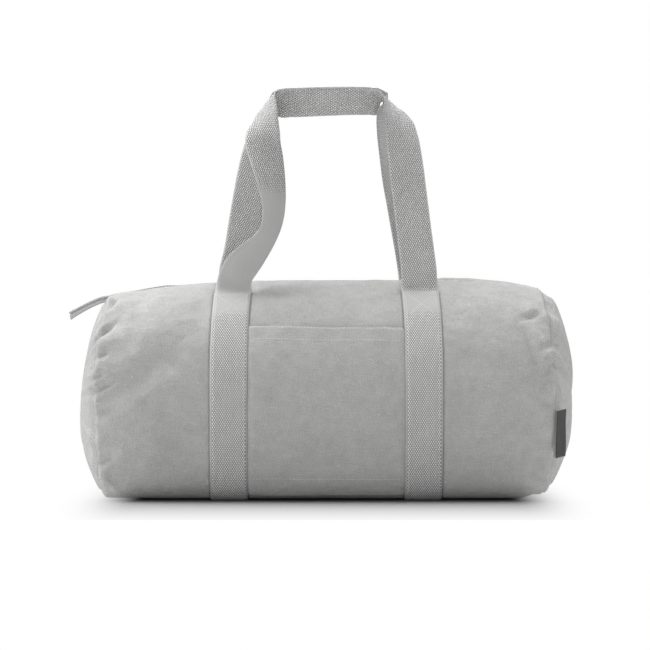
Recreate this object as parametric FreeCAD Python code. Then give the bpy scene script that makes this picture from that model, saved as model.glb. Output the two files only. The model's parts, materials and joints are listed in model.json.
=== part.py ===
import FreeCAD, Part
import math
import os

# A soft canvas barrel bag. The frame is in millimetres: +X to the bag's right end, +Y to
# its back, +Z up, with the origin under the middle of the bag on the surface it stands on.

V = FreeCAD.Vector

# Body
BARREL_LENGTH = 480.0        # end seam to end seam
BAG_DEPTH = 252.0            # front to back
CORNER_RADIUS = 60.0         # where the round side turns into the flat base
BASE_HALF_WIDTH = 46.0       # half of the flat base, front to back
CANVAS = 1.0                 # cloth thickness
STRAIGHT_LENGTH = 350.0      # the middle of the barrel, where the section stays the same
END_SHARE = {"left": 0.90, "right": 0.94}    # size of the section at each end seam
DOME = 29.0                  # how far an end panel would bulge past its seam if it had no flat middle
DOME_FLAT_SHARE = 0.25       # size of the flat middle of an end panel
DOME_MIDDLE_Z = 102.0        # height of an end panel's middle above the base

# Zip
CREST_HALF_WIDTH = 22.0      # from the middle to each crest beside the zip
SLOT_HALF_WIDTH = 7.0        # from the middle to each folded canvas edge
FOLD_WIDTH = 2.0             # the flat of a folded edge beside the slot
VALLEY_DEPTH = 8.0           # from the top of the round section down to the folded edges
VALLEY_DEPTH_AT_SEAM = 3.0
TAPE_WIDTH = 14.0
TAPE_THICKNESS = 0.6
TAPE_GAP = 1.2               # from the middle to the inner edge of a tape
COIL_RADIUS = 1.3
COIL_GAP = 0.7               # from the middle to the inner side of a coil
SLIDER_X = 158.0             # the slider's place with the zip closed
SLIDER_LENGTH = 13.0
SLIDER_PLATE = 1.2
SLIDER_WALL = 1.0
BRIDGE_THICKNESS = 0.9
BRIDGE_LENGTH = 4.5
BAIL_WIDTH = 2.4
PIN_RADIUS = 0.6
PULLER_BORE = 0.9
PULLER_EYE = 1.7
PULLER_LENGTH = 26.0
PULLER_WIDTH = 4.0
PULLER_THICKNESS = 1.2
TAIL_LENGTH = 37.0
TAIL_DROOP = 29.0            # degrees below level
TAIL_LEAF = 14.0
TAIL_FRONT_ANGLE = 55.0      # degrees that the front leaf hangs down
TAIL_BACK_ANGLE = 12.0

# Webbing
STRAP_WIDTH = 38.0
STRAP_THICKNESS = 1.8
STRAP_X = 102.0              # from the middle to the middle of each strap
STRAP_TOP_Y = 56.0           # half the distance between a strap's two top ends
HINGE_Y = 62.0               # half the distance between the two handle hinges
HANDLE_RISE = 225.0          # from the hinge to the grip, along the handle
HANDLE_TOP_X = 76.0          # half the width of a handle below its corners
HANDLE_CORNER = 26.0
HANDLE_TWIST_START = 30.0    # where a leg starts to turn from facing out to facing sideways
LEG_STEPS = 14
CORNER_STEPS = 6

# Pocket and label
POCKET_TOP_Z = 178.0
POCKET_BOTTOM_Z = 6.0
HEM_HEIGHT = 14.0
LABEL_BOTTOM_Z = 46.0
LABEL_TOP_Z = 94.0
LABEL_WIDTH = 13.0
LABEL_THICKNESS = 0.7
LABEL_ANGLE = 40.0           # degrees from the bag's length towards its back

# Stitching
THREAD_WIDTH = 0.6
THREAD_HEIGHT = 0.3
STRAP_STITCH_INSET = 3.0
BOX_TOP_Y = 70.0             # the box stitching below a hinge, by its distance from the middle
BOX_BOTTOM_Y = 96.0
ZIP_STITCH_Y = 25.0
STRAP_STITCH_BOTTOM_Z = 12.0
BINDING_WIDTH = 12.0
BINDING_THICKNESS = 1.2

CLEARANCE = 0.3              # between pieces that move on each other

RADIUS = BAG_DEPTH / 2
BASE_Z = STRAP_THICKNESS     # the canvas base stands on the straps that pass under it
CENTRE_Z = CORNER_RADIUS + math.sqrt((RADIUS - CORNER_RADIUS) ** 2 - BASE_HALF_WIDTH ** 2)
SEAM_X = BARREL_LENGTH / 2
STRAIGHT_X = STRAIGHT_LENGTH / 2


def on_round(y, offset=0.0):
    """Height of the round side above the base, at a distance y from the middle."""
    return CENTRE_Z + math.sqrt((RADIUS + offset) ** 2 - y ** 2)


def arc(start, middle, end):
    return Part.Arc(start, middle, end).toShape()


def section(x, share=1.0, offset=0.0, valley=VALLEY_DEPTH, middle_z=0.0):
    """The barrel's outline across its length, as a closed wire.

    share shrinks it about the height middle_z over the base, and offset moves it outwards.
    """
    grow = offset / share
    big = RADIUS + grow
    small = CORNER_RADIUS + grow
    down = math.atan2(CENTRE_Z - CORNER_RADIUS, BASE_HALF_WIDTH)
    up = math.acos(CREST_HALF_WIDTH / big)

    def place(y, z):
        return V(x, share * y, BASE_Z + middle_z + share * (z - middle_z))

    def on_arc(side, centre_y, centre_z, radius, angle):
        return place(side * (centre_y + radius * math.cos(angle)), centre_z + radius * math.sin(angle))

    valley_z = CENTRE_Z + RADIUS - valley + grow
    edges = [Part.makeLine(place(-BASE_HALF_WIDTH, -grow), place(BASE_HALF_WIDTH, -grow))]
    folds = [place(side * (SLOT_HALF_WIDTH + FOLD_WIDTH), valley_z) for side in (1, -1)]
    for side, fold in ((1, folds[0]), (-1, folds[1])):
        turn = [on_arc(side, BASE_HALF_WIDTH, CORNER_RADIUS, small, a)
                for a in (-math.pi / 2, (-math.pi / 2 - down) / 2, -down)]
        sweep = [on_arc(side, 0, CENTRE_Z, big, a) for a in (-down, (up - down) / 2, up)]
        edges += [arc(*turn), arc(*sweep), Part.makeLine(sweep[2], fold)]
    edges.append(Part.makeLine(*folds))
    return Part.Wire(Part.sortEdges(edges)[0])


def stations(side):
    """(distance from the middle, share, valley depth) from the straight part to an end seam."""
    end = END_SHARE[side]
    run = SEAM_X - STRAIGHT_X
    found = []
    for t in (0.0, 0.35, 0.7, 1.0):
        fall = t ** 2
        share = 1 - (1 - end) * fall
        valley = VALLEY_DEPTH - (VALLEY_DEPTH - VALLEY_DEPTH_AT_SEAM) * fall
        found.append((STRAIGHT_X + run * t, share, valley))
    return found


def sign(side):
    return -1 if side == "left" else 1


def ring(outer, inner, x0, x1):
    """A layer round the straight part of the barrel, between two offsets, from x0 to x1."""
    walls = [Part.Face(section(x0, offset=o)).extrude(V(x1 - x0, 0, 0)) for o in (outer, inner)]
    return walls[0].cut(walls[1])


def box(x0, x1, y0, y1, z0, z1):
    return Part.makeBox(x1 - x0, y1 - y0, z1 - z0, V(x0, y0, z0))


def joined(shapes):
    return shapes[0].multiFuse(shapes[1:]).removeSplitter() if len(shapes) > 1 else shapes[0]


def loft(wires, ruled=False):
    return Part.makeLoft(wires, True, ruled)


def barrel_panel():
    parts = [ring(0, -CANVAS, -STRAIGHT_X, STRAIGHT_X)]
    for side in END_SHARE:
        skins = [loft([section(sign(side) * x, share, offset, valley) for x, share, valley in stations(side)])
                 for offset in (0, -CANVAS)]
        parts.append(skins[0].cut(skins[1]))
    slot = box(-SEAM_X - 1, SEAM_X + 1, -SLOT_HALF_WIDTH, SLOT_HALF_WIDTH, BASE_Z + CENTRE_Z, BASE_Z + 2 * RADIUS)
    return joined(parts).cut(slot)


def dome_x(share):
    """How far past its seam an end panel is, where its outline has shrunk to a share."""
    return DOME * (1 - share ** 2)


def dome(side, outwards):
    """The solid inside an end panel's surface, moved outwards all over."""
    end = END_SHARE[side]
    wires = [section(sign(side) * (SEAM_X + dome_x(f) + outwards), f * end, outwards,
                     VALLEY_DEPTH_AT_SEAM, DOME_MIDDLE_Z * (1 - f) / (1 - f * end))
             for f in (1.0, 0.85, 0.65, 0.45, DOME_FLAT_SHARE)]
    return loft(wires)


def end_panel(side):
    """A round panel that bulges from its seam to a small flat middle."""
    skins = [dome(side, 0), dome(side, -CANVAS)]
    if sign(side) > 0:
        behind = box(SEAM_X - 2 * DOME, SEAM_X, -RADIUS, RADIUS, 0, 2 * RADIUS + BASE_Z)
    else:
        behind = box(-SEAM_X, -SEAM_X + 2 * DOME, -RADIUS, RADIUS, 0, 2 * RADIUS + BASE_Z)
    return skins[0].cut(skins[1]).cut(behind)


def seam_binding(side):
    """The tape that covers the raw seam inside an end of the barrel."""
    _, share, valley = stations(side)[-1]
    inner, outer = CANVAS, CANVAS + BINDING_THICKNESS
    x = sign(side) * SEAM_X
    reach = V(-sign(side) * BINDING_WIDTH, 0, 0)
    layers = [Part.Face(section(x, share, -offset, valley + 2 * TAPE_THICKNESS)).extrude(reach)
              for offset in (inner, outer)]
    open_top = box(-SEAM_X, SEAM_X, -CREST_HALF_WIDTH, CREST_HALF_WIDTH, BASE_Z + CENTRE_Z, 3 * RADIUS)
    return layers[0].cut(layers[1]).cut(open_top)


def tape_line():
    """(x, height of the folded canvas edges' underside) along the zip, from left to right."""
    found = []
    for side in ("left", "right"):
        line = [(sign(side) * x, BASE_Z + share * (CENTRE_Z + RADIUS - valley) - CANVAS)
                for x, share, valley in stations(side)]
        found += line[::-1] if side == "left" else line
    return found


def along_zip(outline):
    """A solid along the zip, whose section at (x, z) is the wire outline(x, z)."""
    line = tape_line()
    half = len(line) // 2
    spans = [line[:half], line[half - 1:half + 1], line[half:]]
    return joined([loft([outline(x, z) for x, z in span]) for span in spans])


def zip_tape(out):
    def outline(x, z):
        y0, y1 = out * TAPE_GAP, out * (TAPE_GAP + TAPE_WIDTH)
        return Part.makePolygon([V(x, y0, z), V(x, y1, z), V(x, y1, z - TAPE_THICKNESS),
                                 V(x, y0, z - TAPE_THICKNESS), V(x, y0, z)])
    return along_zip(outline)


def zip_coil(out):
    def outline(x, z):
        circle = Part.Circle(V(x, out * (COIL_GAP + COIL_RADIUS), z + COIL_RADIUS), V(1, 0, 0), COIL_RADIUS)
        return Part.Wire([circle.toShape()])
    return along_zip(outline)


TAPE_Z = BASE_Z + CENTRE_Z + RADIUS - VALLEY_DEPTH - CANVAS
PLATE_Z = TAPE_Z + 2 * COIL_RADIUS + CLEARANCE
PIVOT_Z = PLATE_Z + SLIDER_PLATE + CLEARANCE + PULLER_EYE
SLIDER_INNER_Y = COIL_GAP + 2 * COIL_RADIUS + CLEARANCE
SLIDER_OUTER_Y = SLIDER_INNER_Y + SLIDER_WALL


def zip_slider():
    """Two plates round the coils, a bridge between them, and the bail that holds the puller."""
    x0, x1 = SLIDER_X - SLIDER_LENGTH / 2, SLIDER_X + SLIDER_LENGTH / 2
    low = TAPE_Z - TAPE_THICKNESS - CLEARANCE
    parts = [box(x0, x1, -SLIDER_OUTER_Y, SLIDER_OUTER_Y, PLATE_Z, PLATE_Z + SLIDER_PLATE),
             box(x0, x1, -SLIDER_OUTER_Y, SLIDER_OUTER_Y, low - SLIDER_PLATE, low),
             box(x1 - BRIDGE_LENGTH, x1, -BRIDGE_THICKNESS / 2, BRIDGE_THICKNESS / 2, low, PLATE_Z)]
    post_y = PULLER_WIDTH / 2 + CLEARANCE
    for out in (-1, 1):
        wall = sorted((out * SLIDER_INNER_Y, out * SLIDER_OUTER_Y))
        parts.append(box(x0, x1, wall[0], wall[1], TAPE_Z + CLEARANCE, PLATE_Z))
        post = sorted((out * post_y, out * (post_y + SLIDER_WALL)))
        parts.append(box(SLIDER_X - BAIL_WIDTH / 2, SLIDER_X + BAIL_WIDTH / 2, post[0], post[1],
                         PLATE_Z + SLIDER_PLATE, PIVOT_Z + 2 * PIN_RADIUS))
    length = 2 * (post_y + SLIDER_WALL)
    parts.append(Part.makeCylinder(PIN_RADIUS, length, V(SLIDER_X, -length / 2, PIVOT_Z), V(0, 1, 0)))
    return joined(parts)


def zip_puller():
    """A flat tab that lies along the zip, with an eye round the slider's bail."""
    y0 = -PULLER_WIDTH / 2
    eye = Part.makeCylinder(PULLER_EYE, PULLER_WIDTH, V(SLIDER_X, y0, PIVOT_Z), V(0, 1, 0))
    tab = box(SLIDER_X - PULLER_LENGTH, SLIDER_X, y0, -y0,
              PIVOT_Z - PULLER_THICKNESS / 2, PIVOT_Z + PULLER_THICKNESS / 2)
    tab = tab.makeFillet(PULLER_WIDTH / 3, [e for e in tab.Edges
                                           if abs(e.CenterOfMass.x - (SLIDER_X - PULLER_LENGTH)) < 0.01
                                           and abs(e.CenterOfMass.z - PIVOT_Z) < 0.01])
    bore = Part.makeCylinder(PULLER_BORE, PULLER_WIDTH + 2, V(SLIDER_X, y0 - 1, PIVOT_Z), V(0, 1, 0))
    return joined([tab, eye]).cut(bore)


def zip_tail():
    """The end of the zip that stands out of the left end seam: two leaves that meet at a ridge."""
    root_x, root_z = tape_line()[0]
    root_z += CANVAS + CLEARANCE
    leaves = []
    for out, angle in ((-1, TAIL_FRONT_ANGLE), (1, TAIL_BACK_ANGLE)):
        a = math.radians(angle)
        across = V(0, out * math.cos(a), -math.sin(a)) * TAIL_LEAF
        thick = V(0, out * math.sin(a), math.cos(a)) * TAPE_THICKNESS
        corners = [V(0, 0, 0), across, across + thick, thick]
        leaf = Part.Face(Part.makePolygon(corners + corners[:1])).extrude(V(-TAIL_LENGTH, 0, 0))
        leaves.append(leaf)
    ridge = Part.makeCylinder(COIL_RADIUS, TAIL_LENGTH, V(0, 0, TAPE_THICKNESS), V(-1, 0, 0))
    tail = joined(leaves + [ridge])
    tail.rotate(V(0, 0, 0), V(0, 1, 0), -TAIL_DROOP)
    tail.translate(V(root_x - CLEARANCE, 0, root_z))
    beyond = box(root_x - CLEARANCE - TAIL_LENGTH, root_x - CLEARANCE, -RADIUS, RADIUS, 0, 3 * RADIUS)
    return tail.cut(dome("left", CLEARANCE)).common(beyond)


def strap_span(side):
    middle = sign(side) * STRAP_X
    return middle - STRAP_WIDTH / 2, middle + STRAP_WIDTH / 2


def body_strap(side):
    """Webbing that runs down the front, under the bag and up the back."""
    x0, x1 = strap_span(side)
    gap = box(x0 - 1, x1 + 1, -STRAP_TOP_Y, STRAP_TOP_Y, BASE_Z + CENTRE_Z, 3 * RADIUS)
    return ring(STRAP_THICKNESS, 0, x0, x1).cut(gap)


HINGE_OFFSET = STRAP_THICKNESS + CLEARANCE + STRAP_THICKNESS / 2
HINGE_Z = BASE_Z + on_round(HINGE_Y, HINGE_OFFSET)


def lean_angle():
    """How far a handle leans in, so that the two grips lie side by side over the zip."""
    lean = 0.0
    for _ in range(20):
        grip_y = (STRAP_WIDTH * math.cos(lean) + STRAP_THICKNESS * math.sin(lean) + CLEARANCE) / 2
        lean = math.asin((HINGE_Y - grip_y) / HANDLE_RISE)
    return lean


def handle_path():
    """(x, rise, direction in the handle's plane, twist) from one hinge, over the grip, to the other."""
    leg = []
    top = HANDLE_RISE - HANDLE_CORNER
    for i in range(LEG_STEPS + 1):
        t = i / LEG_STEPS
        ease = t * t * (3 - 2 * t)
        rise = top * t
        slope = -(STRAP_X - HANDLE_TOP_X) * 6 * t * (1 - t) / top
        u = min(max((rise - HANDLE_TWIST_START) / (top - HANDLE_TWIST_START), 0), 1)
        twist = math.pi / 2 * u * u * (3 - 2 * u)
        leg.append((STRAP_X - (STRAP_X - HANDLE_TOP_X) * ease, rise, (slope, 1.0), twist))
    for i in range(1, CORNER_STEPS + 1):
        a = math.pi / 2 * i / CORNER_STEPS
        leg.append((HANDLE_TOP_X - HANDLE_CORNER * (1 - math.cos(a)), top + HANDLE_CORNER * math.sin(a),
                    (-math.sin(a), math.cos(a)), math.pi / 2))
    other = [(-x, rise, (dx, -dr), math.pi - twist) for x, rise, (dx, dr), twist in reversed(leg)]
    return leg + other


def handle(out):
    """A carrying loop of webbing: it leaves the bag facing out and turns to a flat grip."""
    lean = lean_angle()
    up = V(0, -out * math.sin(lean), math.cos(lean))
    outward = V(0, out * math.cos(lean), math.sin(lean))
    foot = V(0, out * HINGE_Y, HINGE_Z)
    wires = []
    for x, rise, (dx, dr), twist in handle_path():
        along = V(dx, 0, 0) + up * dr
        along.normalize()
        flat = along.cross(outward)
        wide = flat * math.cos(twist) + outward * math.sin(twist)
        thick = along.cross(wide) * (STRAP_THICKNESS / 2)
        wide = wide * (STRAP_WIDTH / 2)
        middle = foot + V(x, 0, 0) + up * rise
        corners = [middle - wide - thick, middle + wide - thick, middle + wide + thick, middle - wide + thick]
        wires.append(Part.makePolygon(corners + corners[:1]))
    ends = [Part.makeCylinder(STRAP_THICKNESS / 2, STRAP_WIDTH,
                              V(side * STRAP_X - STRAP_WIDTH / 2, foot.y, foot.z), V(1, 0, 0))
            for side in (-1, 1)]
    return joined([loft(wires, ruled=True)] + ends)


POCKET_HALF_WIDTH = STRAP_X - STRAP_WIDTH / 2


def front_layer(outer, inner, x0, x1, z0, z1):
    """A layer on the bag's front face, between two offsets and two heights."""
    return ring(outer, inner, x0, x1).common(box(x0, x1, -2 * RADIUS, 0, z0, z1))


def front_pocket():
    return front_layer(CANVAS, 0, -POCKET_HALF_WIDTH, POCKET_HALF_WIDTH, POCKET_BOTTOM_Z, POCKET_TOP_Z)


def pocket_hem():
    return front_layer(2 * CANVAS, CANVAS, -POCKET_HALF_WIDTH, POCKET_HALF_WIDTH,
                       POCKET_TOP_Z - HEM_HEIGHT, POCKET_TOP_Z)


def pocket_stitching():
    z = POCKET_TOP_Z - HEM_HEIGHT + 2 * THREAD_WIDTH
    return front_layer(2 * CANVAS + THREAD_HEIGHT, 2 * CANVAS, -POCKET_HALF_WIDTH, POCKET_HALF_WIDTH,
                       z, z + THREAD_WIDTH)


def label_hinge():
    """(start, edge, outward) of the straight line that the side label folds about, along its seam."""
    share = END_SHARE["right"]
    ends = []
    for z in (LABEL_BOTTOM_Z, LABEL_TOP_Z):
        local = (z - BASE_Z) / share - CENTRE_Z
        ends.append(V(SEAM_X, -share * math.sqrt(RADIUS ** 2 - local ** 2), z))
    edge = ends[1] - ends[0]
    bow = edge.Length ** 2 / (8 * share * RADIUS)
    outward = V(0, -edge.z, edge.y) / edge.Length
    return ends[0] + outward * (bow + CLEARANCE) + V(LABEL_THICKNESS, 0, 0), edge, outward


def side_label():
    """A folded fabric label sewn into the front of the right end seam, standing off the panel."""
    root, edge, outward = label_hinge()
    a = math.radians(LABEL_ANGLE)
    across = V(math.cos(a), 0, 0) - outward * math.sin(a)
    thick = V(-math.sin(a), 0, 0) - outward * math.cos(a)
    corners = [root, root + across * LABEL_WIDTH, root + across * LABEL_WIDTH - thick * LABEL_THICKNESS,
               root - thick * LABEL_THICKNESS]
    return Part.Face(Part.makePolygon(corners + corners[:1])).extrude(edge)


def strap_threads(side):
    """The layer just above a strap, where its stitches lie."""
    x0, x1 = strap_span(side)
    return ring(STRAP_THICKNESS + THREAD_HEIGHT, STRAP_THICKNESS, x0, x1)


def strap_stitching(side):
    """A row of stitches along each edge of a strap, at the front and the back."""
    x0, x1 = strap_span(side)
    top = BASE_Z + on_round(BOX_BOTTOM_Y)
    rows = []
    for x in (x0 + STRAP_STITCH_INSET, x1 - STRAP_STITCH_INSET - THREAD_WIDTH):
        rows.append(box(x, x + THREAD_WIDTH, -2 * RADIUS, 2 * RADIUS, STRAP_STITCH_BOTTOM_Z, top))
    return strap_threads(side).common(Part.makeCompound(rows))


def box_stitching(out):
    """A stitched box with a cross in it below each hinge of one handle."""
    found = []
    middle_y = out * (BOX_TOP_Y + BOX_BOTTOM_Y) / 2
    for side in END_SHARE:
        x0, x1 = strap_span(side)
        x0 += STRAP_STITCH_INSET
        x1 -= STRAP_STITCH_INSET
        corners = [V(x, out * y, BASE_Z + on_round(y)) for x in (x0, x1) for y in (BOX_TOP_Y, BOX_BOTTOM_Y)]
        normal = V(0, middle_y, on_round(middle_y) - CENTRE_Z)
        normal.normalize()
        reach = normal * CORNER_RADIUS
        slabs = []
        for a, b in ((0, 1), (2, 3), (0, 2), (1, 3), (0, 3), (1, 2)):
            half = normal.cross(corners[b] - corners[a])
            half.normalize()
            half = half * (THREAD_WIDTH / 2)
            start, end = corners[a] - reach / 2, corners[b] - reach / 2
            outline = [start - half, end - half, end + half, start + half]
            slabs.append(Part.Face(Part.makePolygon(outline + outline[:1])).extrude(reach))
        found.append(strap_threads(side).common(joined(slabs)))
    return Part.makeCompound([s for shape in found for s in shape.Solids])


def zip_stitching():
    """A row of stitches on the canvas beside each side of the zip."""
    layer = ring(THREAD_HEIGHT, 0, -STRAIGHT_X, STRAIGHT_X)
    rows = []
    for out in (-1, 1):
        y = sorted((out * ZIP_STITCH_Y, out * (ZIP_STITCH_Y + THREAD_WIDTH)))
        rows.append(box(-STRAIGHT_X, STRAIGHT_X, y[0], y[1], BASE_Z + CENTRE_Z, 3 * RADIUS))
    return layer.common(Part.makeCompound(rows))


def main():
    pieces = {"barrel_panel": barrel_panel()}
    for side in END_SHARE:
        pieces[f"{side}_end_panel"] = end_panel(side)
        pieces[f"{side}_seam_binding"] = seam_binding(side)
        pieces[f"{side}_body_strap"] = body_strap(side)
        pieces[f"{side}_strap_stitching"] = strap_stitching(side)
    for name, out in (("front", -1), ("back", 1)):
        pieces[f"{name}_zip_tape"] = zip_tape(out)
        pieces[f"{name}_zip_coil"] = zip_coil(out)
        pieces[f"{name}_handle"] = handle(out)
        pieces[f"{name}_box_stitching"] = box_stitching(out)
    pieces["zip_slider"] = zip_slider()
    pieces["zip_puller"] = zip_puller()
    pieces["zip_tail"] = zip_tail()
    pieces["zip_stitching"] = zip_stitching()
    pieces["front_pocket"] = front_pocket()
    pieces["pocket_hem"] = pocket_hem()
    pieces["pocket_stitching"] = pocket_stitching()
    pieces["side_label"] = side_label()
    os.makedirs("parts", exist_ok=True)
    for name, shape in pieces.items():
        size = shape.BoundBox
        print(f"{name:24s} {len(shape.Solids)} solids, valid {shape.isValid()}, {shape.Volume:10.1f} mm3, "
              f"x {size.XMin:.1f}..{size.XMax:.1f} y {size.YMin:.1f}..{size.YMax:.1f} "
              f"z {size.ZMin:.1f}..{size.ZMax:.1f}")
        shape.exportStep(f"parts/{name}.step")
    print(f"handle hinges at y {HINGE_Y:.2f}, z {HINGE_Z:.2f}; puller pivot at z {PIVOT_Z:.2f}")
    tail = pieces["zip_tail"].BoundBox
    print(f"tail hinge at x {tail.XMax:.2f}, z {tail.ZMax:.2f}")
    root, edge, _ = label_hinge()
    print(f"label hinge through ({root.x:.2f}, {root.y:.2f}, {root.z:.2f}) along "
          f"({edge.x / edge.Length:.4f}, {edge.y / edge.Length:.4f}, {edge.z / edge.Length:.4f})")


main()
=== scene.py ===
# %% [markdown]
# # A canvas barrel bag, step by step
# The bag is two round canvas ends sewn into a canvas barrel, with webbing straps that run
# under it and rise into two carry handles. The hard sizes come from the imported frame, and
# everything soft is modelled here, in metres, around it.

# %% Load the frame and keep its box
import json
import math
import bpy
import numpy as np
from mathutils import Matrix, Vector, noise


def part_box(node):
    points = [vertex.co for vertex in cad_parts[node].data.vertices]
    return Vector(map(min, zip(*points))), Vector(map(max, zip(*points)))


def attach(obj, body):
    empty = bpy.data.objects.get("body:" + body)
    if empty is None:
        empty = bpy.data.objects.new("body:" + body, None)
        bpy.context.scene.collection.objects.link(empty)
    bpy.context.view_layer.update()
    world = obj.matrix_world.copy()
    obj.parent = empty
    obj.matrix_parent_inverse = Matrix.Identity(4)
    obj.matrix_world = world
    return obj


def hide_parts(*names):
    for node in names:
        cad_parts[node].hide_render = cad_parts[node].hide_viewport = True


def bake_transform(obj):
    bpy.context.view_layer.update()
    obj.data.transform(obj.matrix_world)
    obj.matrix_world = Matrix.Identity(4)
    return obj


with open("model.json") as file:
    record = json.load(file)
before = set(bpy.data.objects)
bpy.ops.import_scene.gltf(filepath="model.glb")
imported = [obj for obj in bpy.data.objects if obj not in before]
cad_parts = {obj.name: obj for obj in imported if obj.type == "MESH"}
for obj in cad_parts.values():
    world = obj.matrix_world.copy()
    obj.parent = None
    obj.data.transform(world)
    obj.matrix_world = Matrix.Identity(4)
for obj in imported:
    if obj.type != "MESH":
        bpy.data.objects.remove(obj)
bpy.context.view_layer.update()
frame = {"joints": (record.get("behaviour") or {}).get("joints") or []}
MM = 0.001

# %% [markdown]
# ## Small tools for meshes
# Cloth is a thin layer, so most pieces are made the same way: a grid of points in the middle
# of the cloth, the direction that faces out at each point, and a thickness. One function
# turns that into a closed mesh with two faces and a rim, and gives it a pattern map in metres,
# so that weave and stitches have their real size on every piece.


# %% Grids, normals and closed cloth layers
def unit(vectors):
    length = np.linalg.norm(vectors, axis=-1, keepdims=True)
    return vectors / np.maximum(length, 1e-12)


def smoothstep(t):
    t = np.clip(t, 0.0, 1.0)
    return t * t * (3 - 2 * t)


def grid_normals(points, sample, toward, wrap=False):
    """Directions at right angles to a grid of points, turned so that one sample faces toward."""
    down = np.gradient(points, axis=0)
    if wrap:
        across = np.roll(points, -1, axis=1) - np.roll(points, 1, axis=1)
    else:
        across = np.gradient(points, axis=1)
    normal = unit(np.cross(down, across))
    return normal if np.dot(normal[sample], toward) >= 0 else -normal


def new_object(name, verts, faces, uv=None, smooth=True):
    mesh = bpy.data.meshes.new(name)
    mesh.from_pydata([tuple(v) for v in verts], [], [tuple(f) for f in faces])
    if uv is not None:
        layer = mesh.uv_layers.new(name="cloth")
        corner = np.zeros(len(mesh.loops), np.int32)
        mesh.loops.foreach_get("vertex_index", corner)
        layer.data.foreach_set("uv", np.asarray(uv, np.float32)[corner].ravel())
    mesh.validate()
    mesh.polygons.foreach_set("use_smooth", [smooth] * len(mesh.polygons))
    mesh.update()
    made = bpy.data.objects.new(name, mesh)
    bpy.context.scene.collection.objects.link(made)
    return made


def cloth(name, middle, outward, thickness, uv, wrap=False, pole=False, thin_edges=1.0):
    """A closed layer of cloth round a grid of points.

    wrap joins the last column to the first, pole closes the last row to a point, and thin_edges
    narrows the two long edges, as woven edges are.
    """
    rows, cols = middle.shape[:2]
    one_side = rows * cols
    half = np.full((rows, cols, 1), thickness / 2)
    if thin_edges < 1:
        half[:, [0, -1]] *= thin_edges
    verts = np.concatenate([(middle + outward * half).reshape(-1, 3),
                            (middle - outward * half).reshape(-1, 3)])
    uvs = np.concatenate([np.asarray(uv).reshape(-1, 2)] * 2)
    ids = np.arange(one_side).reshape(rows, cols)
    if wrap:
        ids = np.concatenate([ids, ids[:, :1]], axis=1)
    top = np.stack([ids[:-1, :-1], ids[1:, :-1], ids[1:, 1:], ids[:-1, 1:]], -1).reshape(-1, 4)
    first = middle[rows // 2, 0:2]
    lean = np.cross(middle[rows // 2 - 1, 0] - first[0], first[1] - first[0])
    if np.dot(lean, outward[rows // 2, 0]) > 0:
        top = top[:, ::-1]
    faces = [list(f) for f in top] + [list(f) for f in top[:, ::-1] + one_side]
    edges = {(face[i], face[(i + 1) % 4]) for face in top for i in range(4)}
    rims = [ids[0]] + ([] if pole else [ids[-1]]) + ([] if wrap else [ids[:, 0], ids[:, -1]])
    for rim in rims:
        for i, j in zip(rim[:-1], rim[1:]):
            if (i, j) in edges:
                i, j = j, i
            faces.append([i, j, j + one_side, i + one_side])
    if pole:
        ring = list(ids[-1, :-1])
        for is_top, shift in ((True, 0), (False, one_side)):
            tip = len(verts)
            verts = np.concatenate([verts, verts[np.array(ring) + shift].mean(0)[None]])
            uvs = np.concatenate([uvs, uvs[np.array(ring) + shift].mean(0)[None]])
            for i, j in zip(ring, ring[1:] + ring[:1]):
                pair = (i, j) if ((i, j) in edges) != is_top else (j, i)
                faces.append([pair[0] + shift, pair[1] + shift, tip])
    return new_object(name, verts, faces, uvs)


print("cloth layers are closed meshes with a map in metres")

# %% [markdown]
# ## The camera, the light and the floor
# The bag stands on a white floor with no corner behind it; under the bag the floor is painted
# grey as a shadow, and well in front it glows brighter than white. Most of the light is one large
# soft panel overhead and a little behind, so the tops of the shapes are bright and the front is
# lit by the floor's glow and by what the floor gives back. Weaker panels behind, at the sides and
# in front lift the rest.

# %% One call for each shader or geometry node
def wire(tree, kind, inputs=None, **settings):
    """Adds a node. An input is a socket to link or a value to set, by its name or its number."""
    node = tree.nodes.new(kind)
    for key, value in settings.items():
        setattr(node, key, value)
    for key, value in (inputs or {}).items():
        if isinstance(value, bpy.types.NodeSocket):
            tree.links.new(value, node.inputs[key])
        else:
            node.inputs[key].default_value = value
    return node


def set_inputs(node, values):
    for key, value in values.items():
        node.inputs[key].default_value = value


# %% Camera
camera_data = bpy.data.cameras.new("camera")
camera_data.lens = 142.2
camera_data.sensor_width = 36.0
camera = bpy.data.objects.new("camera", camera_data)
camera.location = (-0.0014, -2.8, 0.185)
camera.rotation_euler = (math.radians(90), 0, 0)
bpy.context.scene.collection.objects.link(camera)
bpy.context.scene.camera = camera

# %% Soft panels of light: name, place, size and power in watts
AIM = Vector((0, 0, 0.12))         # every panel faces the middle of the bag
PANELS = [("top", (0.0, 0.1, 1.9), (2.4, 1.2), 26), ("top_back", (0.0, 0.9, 1.8), (2.6, 1.2), 13),
          ("top_left", (-1.3, 0.3, 1.6), (1.2, 1.4), 20), ("top_right", (1.3, 0.3, 1.6), (1.2, 1.4), 9),
          ("left", (-2.0, 0.2, 0.7), (1.2, 1.0), 12), ("right", (2.0, 0.2, 0.7), (1.2, 1.0), 6),
          ("front", (-0.2, -3.3, 0.16), (3.0, 0.3), 20), ("left_front", (-1.8, -1.6, 0.9), (1.2, 1.0), 6)]
bpy.context.scene.view_settings.view_transform = "Standard"
for name, place, (wide, high), power in PANELS:
    data = bpy.data.lights.new(name + "_panel", "AREA")
    data.shape = "RECTANGLE"
    data.size, data.size_y, data.energy = wide, high, power
    panel = bpy.data.objects.new(name + "_panel", data)
    panel.location = place
    panel.rotation_euler = (AIM - Vector(place)).to_track_quat("-Z", "Y").to_euler()
    panel.visible_camera = False
    bpy.context.scene.collection.objects.link(panel)

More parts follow.
